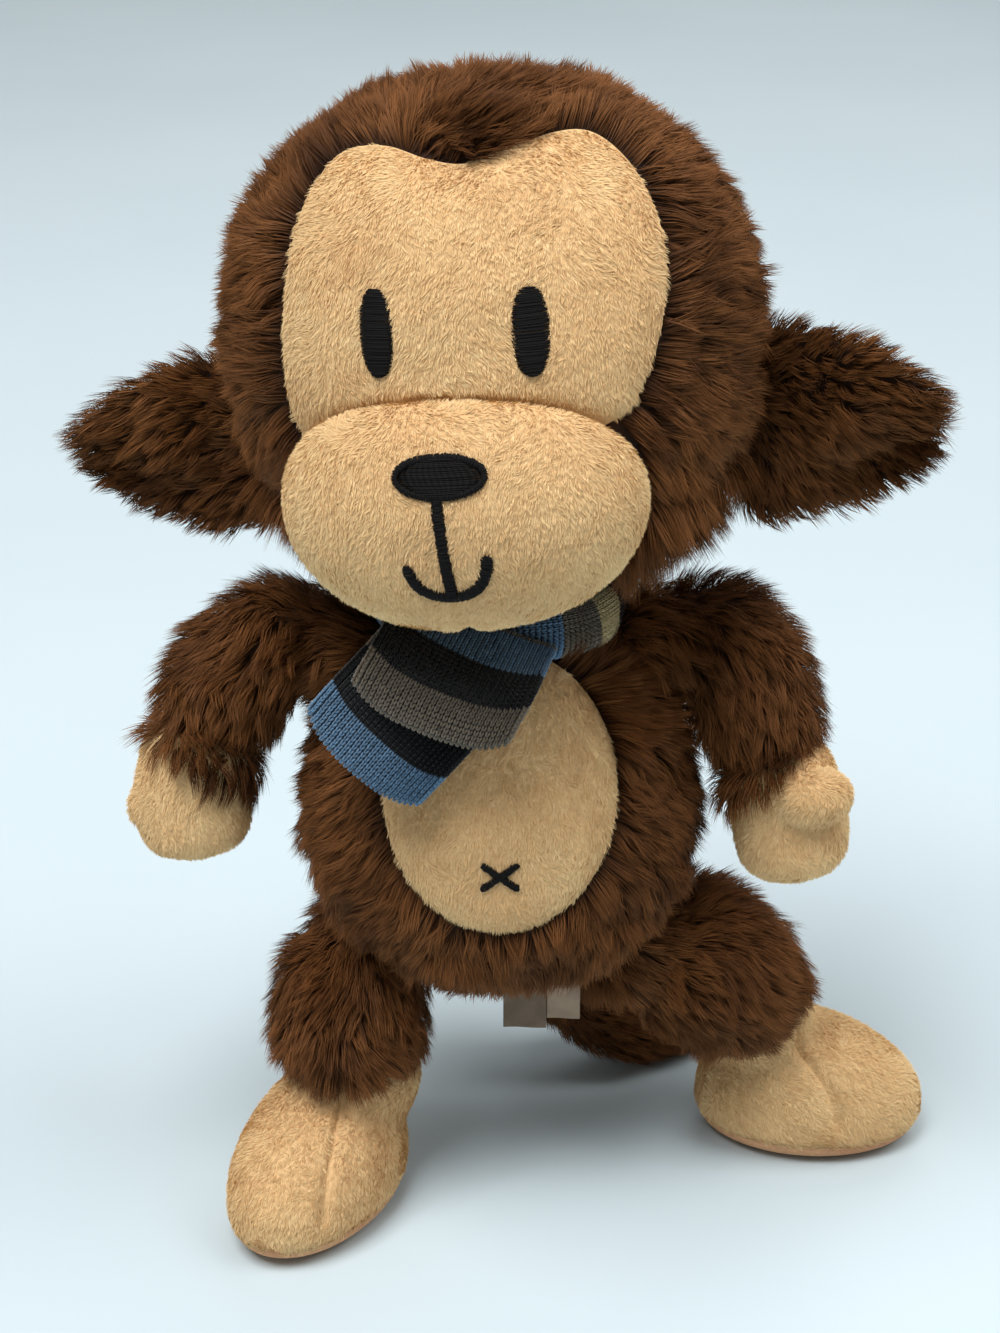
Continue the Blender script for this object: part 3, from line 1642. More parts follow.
@dataclass
class Ear:
    """One cupped ear: a stuffed flap with fur over both sides."""

    wardrobe: Wardrobe
    head: Head
    side: Side
    hinge: Spot = (71.0, 2.0, -30.0)
    reach: float = 49.0
    talls: Pair = (66.0, 60.0)
    wall: float = 2.6
    cups: Pair = (10.0, 7.0)
    tips: Pair = (3.2, 2.8)
    tapers: Pair = (0.34, 0.44)
    lifts: Pair = (2.0, 2.5)
    folds: Pair = (18.0, 7.0)
    grid: tuple[int, int] = (18, 18)
    comb_from: Spot = (52.0, 8.0, -26.0)

    def flap(self, along: Array, rise: Array, wall: Array) -> Array:
        """Places on the flap, as the head has them.

        Args:
            along: shares of the reach, from the hinge.
            rise: shares of the half height, from the middle.
            wall: distances behind the flap's middle.

        Returns:
            One place for each.
        """
        pairs = (self.talls, self.tapers, self.tips, self.lifts, self.folds, self.cups)
        tall, taper, tip, lift, fold, cup = map(self.side.of, pairs)
        half = tall / 2 * (1 - 0.16 * (1 - along) ** 3) * (1 - taper * along**1.5)
        high = rise * half * np.sqrt(1 - (0.985 * along) ** tip) + lift * along
        past = np.maximum(0, along - 0.12)
        crease = fold / 2 * np.tanh(8 * (rise + 0.4 * (1 - along))) * np.clip(3 * past, 0, 1)
        bend = cup * past * (past + rise**2) + crease
        local = np.stack([self.side.value * self.reach * along, wall - bend, high], -1)
        return local + self.side.place(self.hinge)

    def build(self) -> None:
        """Builds and dresses the ear."""
        name = f"ear_{self.side.word}"
        columns, rows = self.grid
        along, rise = np.meshgrid(np.linspace(-0.12, 0.95, columns), np.linspace(-0.92, 0.92, rows))
        round_off = np.sqrt(np.clip(1 - np.maximum(np.abs(rise / 0.95), along / 0.98) ** 6, 0.1, 1))
        past, root = np.maximum(along, 0.0).ravel(), np.minimum(along, 0.0).ravel()
        walls = [self.flap(past, rise.ravel(), (sign * self.wall * round_off).ravel()) for sign in (-1, 1)]
        for wall in walls:
            wall[:, 0] += self.side.value * self.reach * root
        points = self.head.stance.out(np.concatenate(walls))
        piece = new_piece(f"{name}_stuffed", points, closed_sheet(columns, rows))
        edit_all(piece, bpy.ops.mesh.normals_make_consistent, inside=False)
        Stuffing(voxel=3.0, cap=1.0, pressure=2.0, smooth=3).fill(piece)
        settle(piece, name, self.wardrobe.hide, [f"{name}_front", f"{name}_back"])
        hinge = self.head.stance.out(self.side.place(self.comb_from)[None])[0]

        def comb(points: Array, normals: Array) -> Array:
            """Away from the seam, and a little down."""
            return unit(points - hinge) + DOWN * 0.12 + swirls(points, 0.3, 71)

        def keep(points: Array) -> Array:
            """Outside the head."""
            return ~self.head.form.grown(0.5).holds(self.head.stance.back(points))

        coat = replace(LONG_FUR, length=8.5, ragged=0.2, gather=0.36, seed=131 + self.side.value)
        settle(coat.grow(f"{name}_coat", Skin.of(piece), comb, keep), name, self.wardrobe.fur)


@dataclass
class Arm:
    """One arm: a furred sleeve from the shoulder and a short-pile mitten with its thumb."""

    wardrobe: Wardrobe
    torso: Torso
    side: Side
    shoulder: Spot = (49.08, 0.0, 179.0)
    root_size: Spot = (30.0, 27.0, 27.0)
    root_spot: Spot = (43.0, 0.0, 178.0)
    wrist: float = 0.62
    radii: tuple[float, ...] = (13.5, 16.5, 17.0, 14.5, 15.0, 14.0)
    thumbs: tuple[tuple[float, ...], ...] = (
        (5.0, -12.5, 14.0, 92.0, 17.0, 23.0), (6.0, -3.0, 1.0, 114.0, 18.0, 27.0))
    thumb_at: float = 0.81
    thumb_yaw: float = 12.0
    hems: tuple[Pair, ...] = ((0.0, 0.06), (0.05, 0.05))
    spines: tuple[tuple[Spot, ...], ...] = (
        ((0, 0, 0), (15, 0, 0), (25, -5, -20), (34, -12, -45), (38, -16, -69)),
        ((0, 0, 0), (17, -1, -1), (33, -6, -19), (40, -13, -41), (38, -17, -61)),
    )

    @property
    def tube(self) -> Tube:
        """The arm's spine and thickness where it stands."""
        root = self.side.place(self.shoulder)
        spots = [tuple(root + self.side.place(step)) for step in self.side.of(self.spines)]
        return Tube(tuple(spots), self.radii)

    def build(self) -> None:
        """Builds and dresses the arm."""
        body = f"arm_{self.side.word}"
        tube = self.tube
        root = Ovoid(*self.root_size, 0.0, tuple(self.side.place(self.root_spot)))
        sleeve = sewn_limb(body, tube.skin(0.0, self.wrist, -1.0), root, SLEEVE_STUFFING, self.wardrobe)
        hand = self.hand(tube)
        comb = down_limb(tube, follow=0.8, drop=0.35, swirl=0.38, seed=83)

        def keep(points: Array) -> Array:
            """Above the wrist, and outside the body."""
            _, share = tube.nearest(points)
            return (share < self.wrist - 0.045) & ~self.torso.form.grown(1.0).holds(points)

        coat = replace(LONG_FUR, seed=141 + self.side.value)
        settle(coat.grow(f"{body}_coat", Skin.of(sleeve), comb, keep), body, self.wardrobe.fur)

        def cuff(points: Array) -> Array:
            """How far past the fur's slanting edge each point is, as a share of the arm."""
            spots, _ = tube.line(tube.stops + 1)
            _, share = tube.nearest(points)
            inward = self.side.value * (spots[(share * tube.stops).astype(int), 0] - points[:, 0]) / 15.0
            drop, slant = self.side.of(self.hems)
            return share - self.wrist - drop - slant * np.clip(inward, -1, 1)

        hem = replace(LONG_FUR, stand=46, fall=88, seed=145 + self.side.value)
        hem_keep = lambda points: (cuff(points) < 0) & (tube.nearest(points)[1] > self.wrist - 0.055)
        settle(hem.grow(f"{body}_hem_coat", Skin.of(hand), comb, hem_keep), body, self.wardrobe.fur)

        nap = replace(SHORT_NAP, seed=331 + self.side.value)
        bare = lambda points: cuff(points) > -0.01
        mitten = nap.grow(f"hand_{self.side.word}_nap", Skin.of(hand), downwards(0.5, 91), bare)
        settle(mitten, body, self.wardrobe.nap)

    def hand(self, tube: Tube) -> Piece:
        """Sews and stuffs the mitten.

        Args:
            tube: the arm.

        Returns:
            The mitten.
        """
        way = self.side.value
        spots, _ = tube.line()
        aside, ahead, rise, roll, thick, long = self.side.of(self.thumbs)
        middle = spots[int(self.thumb_at * (len(spots) - 1))] + self.side.place((aside, ahead, rise))
        stance = Stance(tuple(middle), way * self.thumb_yaw, way * roll)
        thumb = ball_piece("thumb", Ovoid(thick, thick, long), stance)
        name = f"hand_{self.side.word}"
        mitten = joined([new_piece(f"{name}_stuffed", *tube.skin(self.wrist - 0.07, 1.0, 1.8)), thumb])
        mitten = Stuffing(voxel=2.2, cap=1.0, smooth=3).fill(mitten)
        settle(mitten, f"arm_{self.side.word}", self.wardrobe.tan, [name])
        return mitten


@dataclass
class Leg:
    """One leg: a furred sleeve from the hip and a short-pile foot that stands flat."""

    wardrobe: Wardrobe
    torso: Torso
    side: Side
    hip: Spot = (44.0, -3.0, 81.0)
    root_size: Spot = (34.0, 32.0, 32.0)
    root_spot: Spot = (38.0, -3.0, 81.0)
    thighs: tuple[tuple[float, ...], ...] = (
        (20.5, 21.0, 19.5, 16.0, 13.0), (18.0, 19.0, 21.0, 20.5, 16.0))
    ankle_top: float = 50.0
    ankle_grow: Pair = (0.9, -0.8)
    seams: tuple[Pair, ...] = ((-16.4, 0.62), (9.0, -0.25))
    foot_size: Spot = (44.0, 67.0, 39.0)
    foot_base: float = 0.36
    foot_slope: float = 0.3
    foot_lift: float = 14.04
    ankle_back: float = 14.0
    ankle_high: float = 36.0
    shifts: Pair = (0.0, 5.0)
    seam_width: float = 1.5
    seam_depth: float = 2.0
    welt_width: float = 1.2
    welt_depth: float = 0.9
    sole_edge: float = 7.0
    toes: Pair = (1.03, 1.12)
    foot_places: tuple[Spot, ...] = ((98.0, 15.0, 84.0), (-55.0, -24.0, -24.0))
    bulges: tuple[Spot, ...] = ((3, -4, 8), (-4, -6, 2))

    @property
    def stance(self) -> Stance:
        """Where the foot stands: its points run across, along from toe to heel, and up."""
        x, y, heading = self.side.of(self.foot_places)
        return Stance((x, y, self.foot_lift), heading, 0.0)

    @property
    def tube(self) -> Tube:
        """The leg's spine and thickness where it stands."""
        x, y, heading = self.side.of(self.foot_places)
        turn, back = math.radians(heading), self.ankle_back
        hip = self.side.place(self.hip)
        ankle = np.array([x - math.sin(turn) * back, y + math.cos(turn) * back, self.ankle_high])
        knee = (hip + ankle) / 2 + np.array(self.side.of(self.bulges))
        shift = np.array([self.side.of(self.shifts), 0, 0])
        knee, ankle = knee + shift, ankle + shift
        low = ankle * np.array([1, 1, 0]) + np.array([0, 0, self.foot_size[2] / 2])
        return Tube(tuple(map(tuple, (hip, knee, ankle, low))), self.side.of(self.thighs))

    def ankle(self) -> float:
        """The share of the leg's length where the foot's cloth starts."""
        spots, _ = self.tube.line()
        return float(np.argmax(spots[:, 2] < self.ankle_top)) / (len(spots) - 1)

    def across(self, local: Array) -> Array:
        """How far each of a foot's points lies from the seam over its top."""
        start, slope = self.side.of(self.seams)
        return (local[:, 0] - start - slope * local[:, 1]) / math.hypot(1.0, slope)

    def foot_points(self, ball: Array, grow: float) -> Array:
        """Points of a ball of radius 1 moved onto the foot, where it stands.

        Args:
            ball: points on the ball.
            grow: how far the surface stands outside the foot's sizes.

        Returns:
            The moved points.
        """
        width, length, height = self.foot_size
        low = np.clip(-ball[:, 2], 0.0, 0.999)
        blunt = np.sqrt((1 - low**4) / (1 - low**2))
        local = Ovoid(width + 2 * grow, length + 2 * grow, 2.0).shaped(ball)
        local[:, :2] *= blunt[:, None]
        heel = 1 + self.foot_slope * 2 * local[:, 1] / length
        rise = height * (1 - self.foot_base) * heel + grow
        local[:, 2] *= np.where(local[:, 2] > 0, rise, height * self.foot_base + grow)
        local[:, 1] *= np.where(local[:, 1] < 0, self.side.of(self.toes), 1.0)
        return self.stance.out(local)

    def build(self) -> None:
        """Builds and dresses the leg."""
        body = f"leg_{self.side.word}"
        tube = self.tube
        root = Ovoid(*self.root_size, 0.0, tuple(self.side.place(self.root_spot)))
        skin = tube.skin(0.0, self.ankle() + 0.06, 0.2)
        sleeve = sewn_limb(body, skin, root, SLEEVE_STUFFING, self.wardrobe)
        foot = self.foot()
        shell = BVHTree.FromObject(foot, bpy.context.evaluated_depsgraph_get())
        comb = down_limb(tube, follow=0.8, drop=0.3, swirl=0.38, seed=97)

        def keep(points: Array) -> Array:
            """Outside the foot and the body."""
            outside = np.ones(len(points), bool)
            for number in np.nonzero(points[:, 2] < 64)[0]:
                spot = Vector((points[number] + MIDDLE) * MM)
                near, normal, _, _ = shell.find_nearest(spot)
                outside[number] = (spot - near).dot(normal) > 0.3 * MM
            return outside & ~self.torso.form.grown(1.0).holds(points)

        coat = replace(LONG_FUR, seed=151 + self.side.value)
        settle(coat.grow(f"{body}_coat", Skin.of(sleeve), comb, keep), body, self.wardrobe.fur)

        def bare(points: Array) -> Array:
            """Above the sole, and off the seam."""
            seam = np.abs(self.across(self.stance.back(points))) < 0.6
            return (points[:, 2] > self.sole_edge - 0.6) & ~(seam & (points[:, 2] > 14))

        def part(points: Array, normals: Array) -> Array:
            """Towards the toe and down."""
            toe, heel = (self.stance.out(np.array([[0.0, y, 0.0]]))[0] for y in (-1.0, 0.0))
            return (toe - heel) + DOWN * 0.6 + swirls(points, 0.6, 103, 14.0)

        nap = replace(SHORT_NAP, seed=341 + self.side.value)
        coat = nap.grow(f"foot_{self.side.word}_nap", Skin.of(foot), part, bare)
        settle(coat, body, self.wardrobe.nap)

    def foot(self) -> Piece:
        """Sews and stuffs the foot, with a seam over its top and one round its sole."""
        name = f"foot_{self.side.word}"
        foot, ball = sphere(f"{name}_stuffed")
        set_places(foot, self.foot_points(ball, 1.8))
        points = places(foot)
        points[:, 2] = np.maximum(points[:, 2], 0.6)
        set_places(foot, points)
        grow = self.side.of(self.ankle_grow)
        foot = joined([foot, new_piece("ankle", *self.tube.skin(self.ankle(), 0.96, grow))])
        Stuffing(voxel=2.6, cap=1.2, smooth=5).fill(foot)
        skin = Skin.of(foot)
        seam = np.exp(-((self.across(self.stance.back(skin.points)) / self.seam_width) ** 2))
        over = np.clip((skin.points[:, 2] - 12) / 5, 0, 1) * seam
        points = skin.points - skin.normals * (self.seam_depth * over)[:, None]
        local = self.stance.back(points)
        middle = local.mean(0)
        welt = np.exp(-(((points[:, 2] - self.sole_edge) / self.welt_width) ** 2)) * self.welt_depth
        inward = unit(np.c_[(middle - local)[:, :2], np.zeros(len(local))])
        local[:, :2] += inward[:, :2] * welt[:, None]
        points[:, :2] = self.stance.out(local)[:, :2]
        points[:, 2] = np.maximum(points[:, 2], FLOOR)
        set_places(foot, points)
        for material in (self.wardrobe.tan, self.wardrobe.sole):
            foot.data.materials.append(material)
        below = [int(face.center.z < self.sole_edge * MM) for face in foot.data.polygons]
        foot.data.polygons.foreach_set("material_index", below)
        settle(foot, f"leg_{self.side.word}", self.wardrobe.tan, [f"{name}_upper", f"{name}_sole"])
        return foot


@dataclass
class Tail:
    """The furred tail, from the seat down to the floor."""

    wardrobe: Wardrobe
    torso: Torso
    pivot: Spot = (0.0, 47.6, 90.0)
    radii: tuple[float, ...] = (9.0, 10.0, 10.5, 10.5, 9.5)
    route: tuple[Spot, ...] = (
        (0, 0, 0), (6, 8, -32), (22, 4, -60), (45, 6, -76), (67, 19, -76), (80, 38, -76))
    root: Ovoid = Ovoid(22, 22, 22, 0.0, (0.0, 42.0, 91.0))

    def build(self) -> None:
        """Builds and dresses the tail."""
        start = np.array(self.pivot)
        tube = Tube(tuple(tuple(start + np.array(step)) for step in self.route), self.radii)
        skin = tube.skin(0.0, 1.0, 0.0, sides=20, rings=44)
        core = sewn_limb("tail", skin, self.root, Stuffing(voxel=3.0, cap=1.0, smooth=4), self.wardrobe)
        comb = down_limb(tube, follow=1.0, drop=0.0, swirl=0.3, seed=107)
        keep = lambda points: ~self.torso.form.grown(1.0).holds(points)
        coat = replace(LONG_FUR, length=9.0, seed=161)
        settle(coat.grow("tail_coat", Skin.of(core), comb, keep), "tail", self.wardrobe.fur)


@dataclass
class Scarf:
    """The knitted strip: a gathered wrap round the neck and two ends on the chest."""

    wardrobe: Wardrobe
    torso: Torso
    width: float = 47.0
    spreads: Pair = (45.0, 41.0)
    tilts: Pair = (23.5, 44.0)
    thick: float = 2.8
    hem: float = 0.5
    corner: float = 0.1
    arch: float = 5.5
    neck_top: float = 201.75
    chest: float = 46.5
    column: float = 1.5
    row: float = 1.3
    wrap_radius: float = 29.5
    wrap_oval: float = 0.925
    wrap_height: float = 191.5
    wrap_section: Pair = (7.0, 7.4)
    wrap_bands: int = 16
    wrap_wall: float = 1.6
    front_spine: tuple[Spot, ...] = (
        (-5.2, -12.0, -3.2), (-11.2, 6.8, -8.0), (-16.6, 13.5, -15.5), (-20.2, 15.5, -22.5))
    back_spine: tuple[Spot, ...] = (
        (-16.0, -0.9, -14), (-24, 5.6, -21), (-32.5, 9.5, -29.5), (-39, 10.5, -37))
    blue: Colour = spectrum(100, 134, 164)
    black: Colour = spectrum(13, 14, 18)
    grey: Colour = spectrum(116, 106, 92)
    cream: Colour = spectrum(206, 188, 140)

    def build(self) -> None:
        """Knits the two ends and the wrap."""
        front = ((0.0, self.grey), (0.05, self.blue), (0.4, self.black), (0.71, self.grey))
        back = ((0.0, self.grey), (0.28, self.black), (0.66, self.blue))
        self.end("scarf_front", self.front_spine, self.tilts[0], self.spreads[0], front, 171)
        self.end("scarf_back", self.back_spine, self.tilts[1], self.spreads[1], back, 173)
        self.wrap()

    def end(self, name: str, spine: Sequence[Spot], tilt: float, spread: float,
            stripes: Sequence[tuple[float, Colour]], seed: int) -> None:
        """Knits one hanging end.

        Args:
            name: what its pieces are called.
            spine: its middle line: across, out from the chest, and up from the neck's top.
            tilt: how far its width slopes, in degrees.
            spread: how wide it lies.
            stripes: where each stripe starts along it.
            seed: which small irregularities it has.
        """
        hung = tuple((x, -self.chest - out, self.neck_top + z) for x, out, z in spine)
        spots, ways = Tube(hung, (1.0,)).line(81)
        length = np.linalg.norm(np.diff(spots, axis=0), axis=1).sum()
        number = np.arange(len(spots))
        lean = math.radians(tilt)
        across = np.array([math.cos(lean), 0.0, -math.sin(lean)])

        def place(run: Array, along: Array, inset: float) -> tuple[Array, Array, Array, Array]:
            """Places on the strip's two sides, with the ways across, along and out."""
            aside, high, aside_out, high_out = self.section(run, inset, spread)
            at = along * (1 - self.corner * (2 * aside / spread) ** 4) * (len(spots) - 1)
            middle, way = between(spots, number, at), unit(between(ways, number, at))
            out = unit(np.cross(way, across))
            end = np.sqrt(np.clip(1 - ((along - 0.93) / 0.07).clip(0, 1) ** 2, 0.03, 1))
            thick = end * (1 + self.hem * np.clip((along - 0.66) / 0.22, 0, 1) ** 2)
            share = aside / (self.width / 2)
            wave = 0.6 * np.sin(along * 5.0 + share * 3.0 + seed)
            spot = middle + across * aside[:, None] + out * (high * thick + wave)[:, None]
            spot[:, 1] += self.arch * share**2
            tilted = unit(np.stack([across + np.array([0, 2 * self.arch * s / (self.width / 2), 0])
                                    for s in share]))
            normal = unit(np.cross(way, tilted))
            facing = unit(tilted * aside_out[:, None] + normal * high_out[:, None])
            facing = unit(facing * end[:, None] + way * (1 - end)[:, None])
            return spot, unit(np.cross(facing, way)), way, facing

        material = KnitFinish(f"{name}_yarn", tuple(stripes)).material()
        columns, rows = 64, 26
        run, along = np.meshgrid(np.linspace(0, 1, columns, endpoint=False), np.linspace(0, 1, rows))
        spot, _, _, _ = place(run.ravel(), along.ravel(), 0.5)
        ends = [spot[:columns].mean(0), spot[-columns:].mean(0)]
        points = np.concatenate([[ends[0]], spot, [ends[1]]])
        uvs = np.concatenate([[[0.03, 0.01]], np.c_[0.02 + 0.02 * run.ravel(), 0.01 + 0.98 * along.ravel()],
                              [[0.03, 0.99]]])
        cloth = new_piece(f"{name}_cloth", points, closed_rings(rows, columns), uvs)
        settle(cloth, "scarf_ends", material, [f"{name}_end"])
        count = int(2 * spread / self.column)
        lines = int(length / self.row)
        run, along = np.meshgrid((np.arange(count) + 0.5) / count, (np.arange(lines) + 0.5) / lines)
        knit = self.stitches(f"{name}_knit", place, run.ravel(), along.ravel(), seed)
        settle(knit, "scarf_ends", material)

    def section(self, run: Array, inset: float, spread: float) -> tuple[Array, Array, Array, Array]:
        """The strip's flat tubular section: places and outward ways, by the share of the way round.

        Args:
            run: shares of the way round.
            inset: how far inside the surface.
            spread: how wide the strip lies.

        Returns:
            The places across and up, and the ways out across and up.
        """
        half, radius = spread / 2 - self.thick / 2, self.thick / 2
        stops = np.cumsum([0.0, 2 * half, math.pi * radius, 2 * half, math.pi * radius])
        far = run * stops[-1]
        turn = np.interp(far, stops, [0.0, 0.0, math.pi, math.pi, 2 * math.pi])
        out_x, out_h = np.sin(turn), np.cos(turn)
        aside = np.interp(far, stops, [-half, half, half, -half, -half]) + radius * out_x
        return aside - out_x * inset, radius * out_h - out_h * inset, out_x, out_h

    def stitches(self, name: str, strip: Strip, run: Array, along: Array, seed: int) -> Piece:
        """Knit stitches on a strip, each two slanting legs.

        Args:
            name: the piece's name.
            strip: gives places on the strip, with the ways across, along and out.
            run: each stitch's share of the way round the strip.
            along: its share of the strip's length.
            seed: which small irregularities they have.

        Returns:
            All the stitches as one piece.
        """
        spot, aside, way, out = strip(run, along, 0.0)
        rng = np.random.default_rng(seed)
        points, tones = [], []
        for hand in (-1, 1):
            start, end = np.array([0.11 * hand, 1.0]), np.array([0.47 * hand, -0.8])
            line = end - start
            square = np.array([-line[1], line[0]]) / np.linalg.norm(line)
            template = [(*start, -0.1)]
            for share in (0.24, 0.74):
                centre = start + line * share
                for turn in range(4):
                    angle = turn * math.pi / 2
                    aslant = centre + square * 0.25 * math.cos(angle)
                    template.append((*aslant, 0.16 + 0.5 * math.sin(angle)))
            template.append((*end, -0.1))
            shape = np.array(template)
            size = rng.uniform(0.9, 1.1, (len(spot), 1, 1))
            points.append(spot[:, None] + (aside[:, None] * shape[None, :, :1] * self.column / 1.3
                                           + way[:, None] * shape[None, :, 1:2] * self.row / 1.3
                                           + out[:, None] * shape[None, :, 2:]) * size)
            tones.append(np.clip(rng.normal(0.5, 0.16, len(spot)), 0.05, 0.95))
        body = np.concatenate(points)
        count, each = body.shape[:2]
        first = each * np.arange(count)[:, None, None]
        blocks = [(block[None] + first).reshape(-1, block.shape[1]) for block in closed_rings(2, 4)]
        spread = np.linspace(-0.02, 0.02, each)
        runs = 0.01 + 0.98 * np.tile(along, 2)[:, None]
        uvs = np.stack([np.concatenate(tones)[:, None] + spread[None], runs + 0.01 * spread[::-1][None]], -1)
        return new_piece(name, body.reshape(-1, 3), blocks, uvs.reshape(-1, 2))

    def wrap(self) -> None:
        """Knits the gathered wrap round the neck."""
        order = (self.black, self.blue, self.grey, self.cream)
        bands = self.wrap_bands
        stripes = tuple((number / bands, order[number % len(order)]) for number in range(bands))
        material = KnitFinish("scarf_wrap_yarn", stripes).material()
        wide, tall = self.wrap_section

        def place(run: Array, along: Array, inset: float) -> tuple[Array, Array, Array, Array]:
            """Places on the wrap, with the ways across, along and out."""
            turn = 2 * math.pi * along - 0.35
            slope = np.radians(-150 + 300 * run)
            fold = 1 + 0.1 * np.sin(3 * slope + 2.1 * np.sin(2 * turn)) + 0.05 * np.sin(5 * turn + 2 * slope)
            radial = np.stack([np.cos(turn), np.sin(turn) * NECK_SQUASH, np.zeros_like(turn)], -1)
            ahead = unit(np.stack([-np.sin(turn), np.cos(turn) * NECK_SQUASH, np.zeros_like(turn)], -1))
            level = np.array([0.0, 0.0, 1.0])
            outward = unit(radial)
            middle = radial * self.wrap_radius + level * self.wrap_height
            ahead_out, up = np.cos(slope), np.sin(slope)
            shape = outward * (ahead_out * wide * fold)[:, None] + level * (up * tall * fold)[:, None]
            facing = unit(outward * (ahead_out / wide)[:, None] + level * (up / tall)[:, None])
            spot = middle + shape - facing * inset
            for _ in range(30):
                low = self.torso.form.grown(1.5).holds(spot)
                spot[low, 2] += 0.5
            return spot, np.cross(facing, ahead), ahead, facing

        columns, rows = 26, 96
        along, run = np.meshgrid(np.linspace(0, 1, rows, endpoint=False), np.linspace(0, 1, columns))
        spot, _, _, _ = place(run.ravel(), along.ravel(), 0.5)
        at = np.arange(columns * rows).reshape(columns, rows)
        after = np.roll(at, -1, 1)
        faces = np.stack([at[:-1], after[:-1], after[1:], at[1:]], -1).reshape(-1, 4)
        uvs = np.c_[0.02 + 0.02 * run.ravel(), 0.01 + 0.98 * along.ravel()]
        cloth = new_piece("scarf_wrap_cloth", spot, [faces], uvs)
        pick(cloth)
        apply_step(cloth, "wall", "SOLIDIFY", thickness=self.wrap_wall * MM, offset=-1.0)
        settle(cloth, "torso", material, ["scarf_wrap"])
        length = 2 * math.pi * self.wrap_radius * self.wrap_oval
        lines, count = int(length / self.row), int(self.width / self.column)
        along, run = np.meshgrid((np.arange(lines) + 0.5) / lines, (np.arange(count) + 0.5) / count)
        knit = self.stitches("scarf_wrap_knit", place, run.ravel(), along.ravel(), 177)
        settle(knit, "torso", material)


@dataclass
class Trim:
    """The bare labels in the seat seam, and the neck under the scarf."""

    wardrobe: Wardrobe
    label_y: float = -14.0
    label_top: float = 72.5
    care: tuple[float, ...] = (7.5, 13.0, 16.0, 1.2)
    size: tuple[float, ...] = (19.2, 10.0, 14.0, -0.8)
    ribbon_wall: float = 0.5
    ribbon_hem: float = 0.12
    neck_radius: float = 10.8
    neck_waist: float = 0.08
    neck_middle: float = 199.0
    neck_half: float = 18.0

    def build(self) -> None:
        """Sews the labels and sets the neck."""
        for name, sizes in (("care_label", self.care), ("size_label", self.size)):
            self.label(name, *sizes)
        self.neck()

    def label(self, name: str, x: float, width: float, length: float, bow: float) -> None:
        """Sews one bare label, slightly curled.

        Args:
            name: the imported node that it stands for.
            x: its middle.
            width: its width.
            length: its length, from the seam down.
            bow: how far its lower edge curls forwards.
        """
        deselect()
        bpy.ops.mesh.primitive_grid_add(x_subdivisions=12, y_subdivisions=14, size=1.0)
        ribbon, flat = added(f"{name}_ribbon")
        down = 0.5 - flat[:, 1]
        curl = -bow * down**2 + 0.35 * np.sin(flat[:, 0] * 5.0 + down * 3.0) * down
        set_places(ribbon, np.stack([x + flat[:, 0] * width, self.label_y + curl,
                                     self.label_top - down * length], -1))
        apply_step(ribbon, "wall", "SOLIDIFY", thickness=self.ribbon_wall * MM, offset=0.0)
        apply_step(ribbon, "hem", "BEVEL", width=self.ribbon_hem * MM, segments=2)
        bpy.ops.object.shade_smooth_by_angle(angle=math.radians(40))
        settle(ribbon, "labels", self.wardrobe.labels[name], [name])

    def neck(self) -> None:
        """Sets the stuffed neck between the body and the head."""
        deselect()
        bpy.ops.mesh.primitive_cylinder_add(vertices=40, radius=1.0, depth=2.0, end_fill_type="TRIFAN")
        edit_all(bpy.context.object, bpy.ops.mesh.subdivide, number_cuts=5)
        neck, drum = added("neck_stuffed")
        x, y, z = drum.T
        waist = 1 - self.neck_waist * (1 - z**2)
        set_places(neck, np.stack([x * self.neck_radius * waist, y * self.neck_radius * waist,
                                   self.neck_middle + z * self.neck_half], -1))
        settle(neck, "neck", self.wardrobe.hide, ["neck"])


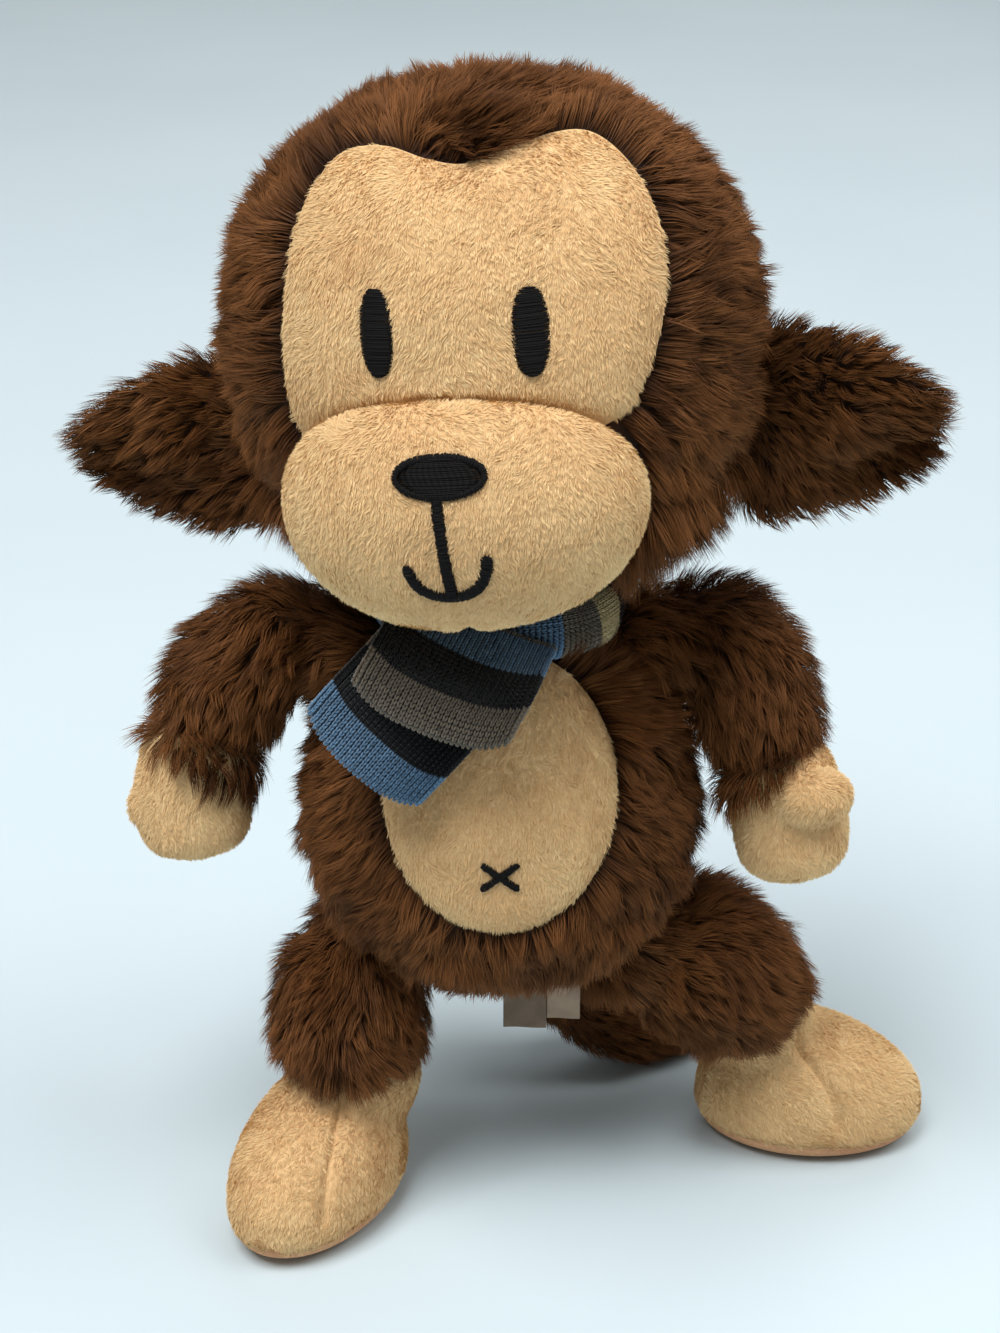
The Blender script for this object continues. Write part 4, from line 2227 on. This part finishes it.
@dataclass(frozen=True)
class Studio:
    """The plain floor, soft light and camera, in metres."""

    floor_size: float = 14.0
    floor_tints: tuple[Colour, Colour] = (spectrum(196, 211, 217), spectrum(201, 215, 221))
    sky: Colour = (1.0, 0.985, 0.96)
    sky_strength: float = 0.23
    lamps: tuple[tuple[str, Spot, float, float], ...] = (
        ("key", (-0.75, -0.9, 2.65), 1.5, 78.0),
        ("fill", (1.3, -0.3, 2.2), 1.6, 30.0),
        ("rear", (0.4, 1.8, 2.0), 1.6, 12.0))
    lit: Spot = (0.0, 0.0, 0.18)
    sensor: float = 36.0
    focal: float = 2587.0
    picture: float = 1333.0
    raised: float = 25.0
    distance: float = 0.75
    target: Spot = (-0.0065, 0.0003, 0.170)

    def build(self) -> None:
        """Builds the stage round the toy."""
        self.floor()
        self.light()
        self.camera()

    def floor(self) -> None:
        """Lays a plain pale floor."""
        deselect()
        bpy.ops.mesh.primitive_plane_add(size=self.floor_size, location=(0.0, 0.0, 0.0))
        floor = bpy.context.object
        floor.name = "floor"
        board = Board("pale_floor")
        tint = board.ramp(board.noise(3.0), list(zip((0.3, 0.7), self.floor_tints)))
        board.surface(tint, rough=0.9, shine=0.1)
        floor.data.materials.append(board.material)

    def light(self) -> None:
        """Hangs soft lamps above the front, on the right and behind, under an even sky."""
        world = bpy.data.worlds.new("sky")
        bpy.context.scene.world = world
        world.use_nodes = True
        sky = world.node_tree.nodes["Background"]
        sky.inputs["Color"].default_value = (*self.sky, 1.0)
        sky.inputs["Strength"].default_value = self.sky_strength
        for name, place, size, power in self.lamps:
            lamp = bpy.data.lights.new(name, "AREA")
            lamp.size = size
            lamp.energy = power
            holder = bpy.data.objects.new(name, lamp)
            holder.location = place
            holder.rotation_euler = (Vector(self.lit) - Vector(place)).to_track_quat("-Z", "Y").to_euler()
            bpy.context.scene.collection.objects.link(holder)

    def camera(self) -> None:
        """Sets the camera at the photograph's view."""
        data = bpy.data.cameras.new("camera")
        data.sensor_fit = "VERTICAL"
        data.sensor_height = self.sensor
        data.lens = self.sensor * self.focal / self.picture
        camera = bpy.data.objects.new("camera", data)
        bpy.context.scene.collection.objects.link(camera)
        raised, target = math.radians(self.raised), Vector(self.target)
        camera.location = target + Vector((0, -math.cos(raised), math.sin(raised))) * self.distance
        camera.rotation_euler = (target - camera.location).to_track_quat("-Z", "Y").to_euler()
        bpy.context.scene.camera = camera


def main() -> None:
    """Builds every sub-assembly in order, and keeps the boxes before and after."""
    logging.basicConfig(level=logging.INFO, format="%(message)s")
    bpy.context.scene.view_settings.view_transform = "Standard"
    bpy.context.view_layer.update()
    wardrobe = Wardrobe()
    torso = Torso(wardrobe)
    head = Head(wardrobe)
    torso.build()
    head.build()
    for side in Side:
        Ear(wardrobe, head, side).build()
        Arm(wardrobe, torso, side).build()
        Leg(wardrobe, torso, side).build()
    Tail(wardrobe, torso).build()
    Scarf(wardrobe, torso).build()
    Trim(wardrobe).build()
    Studio().build()


if __name__ == "__main__":
    main()
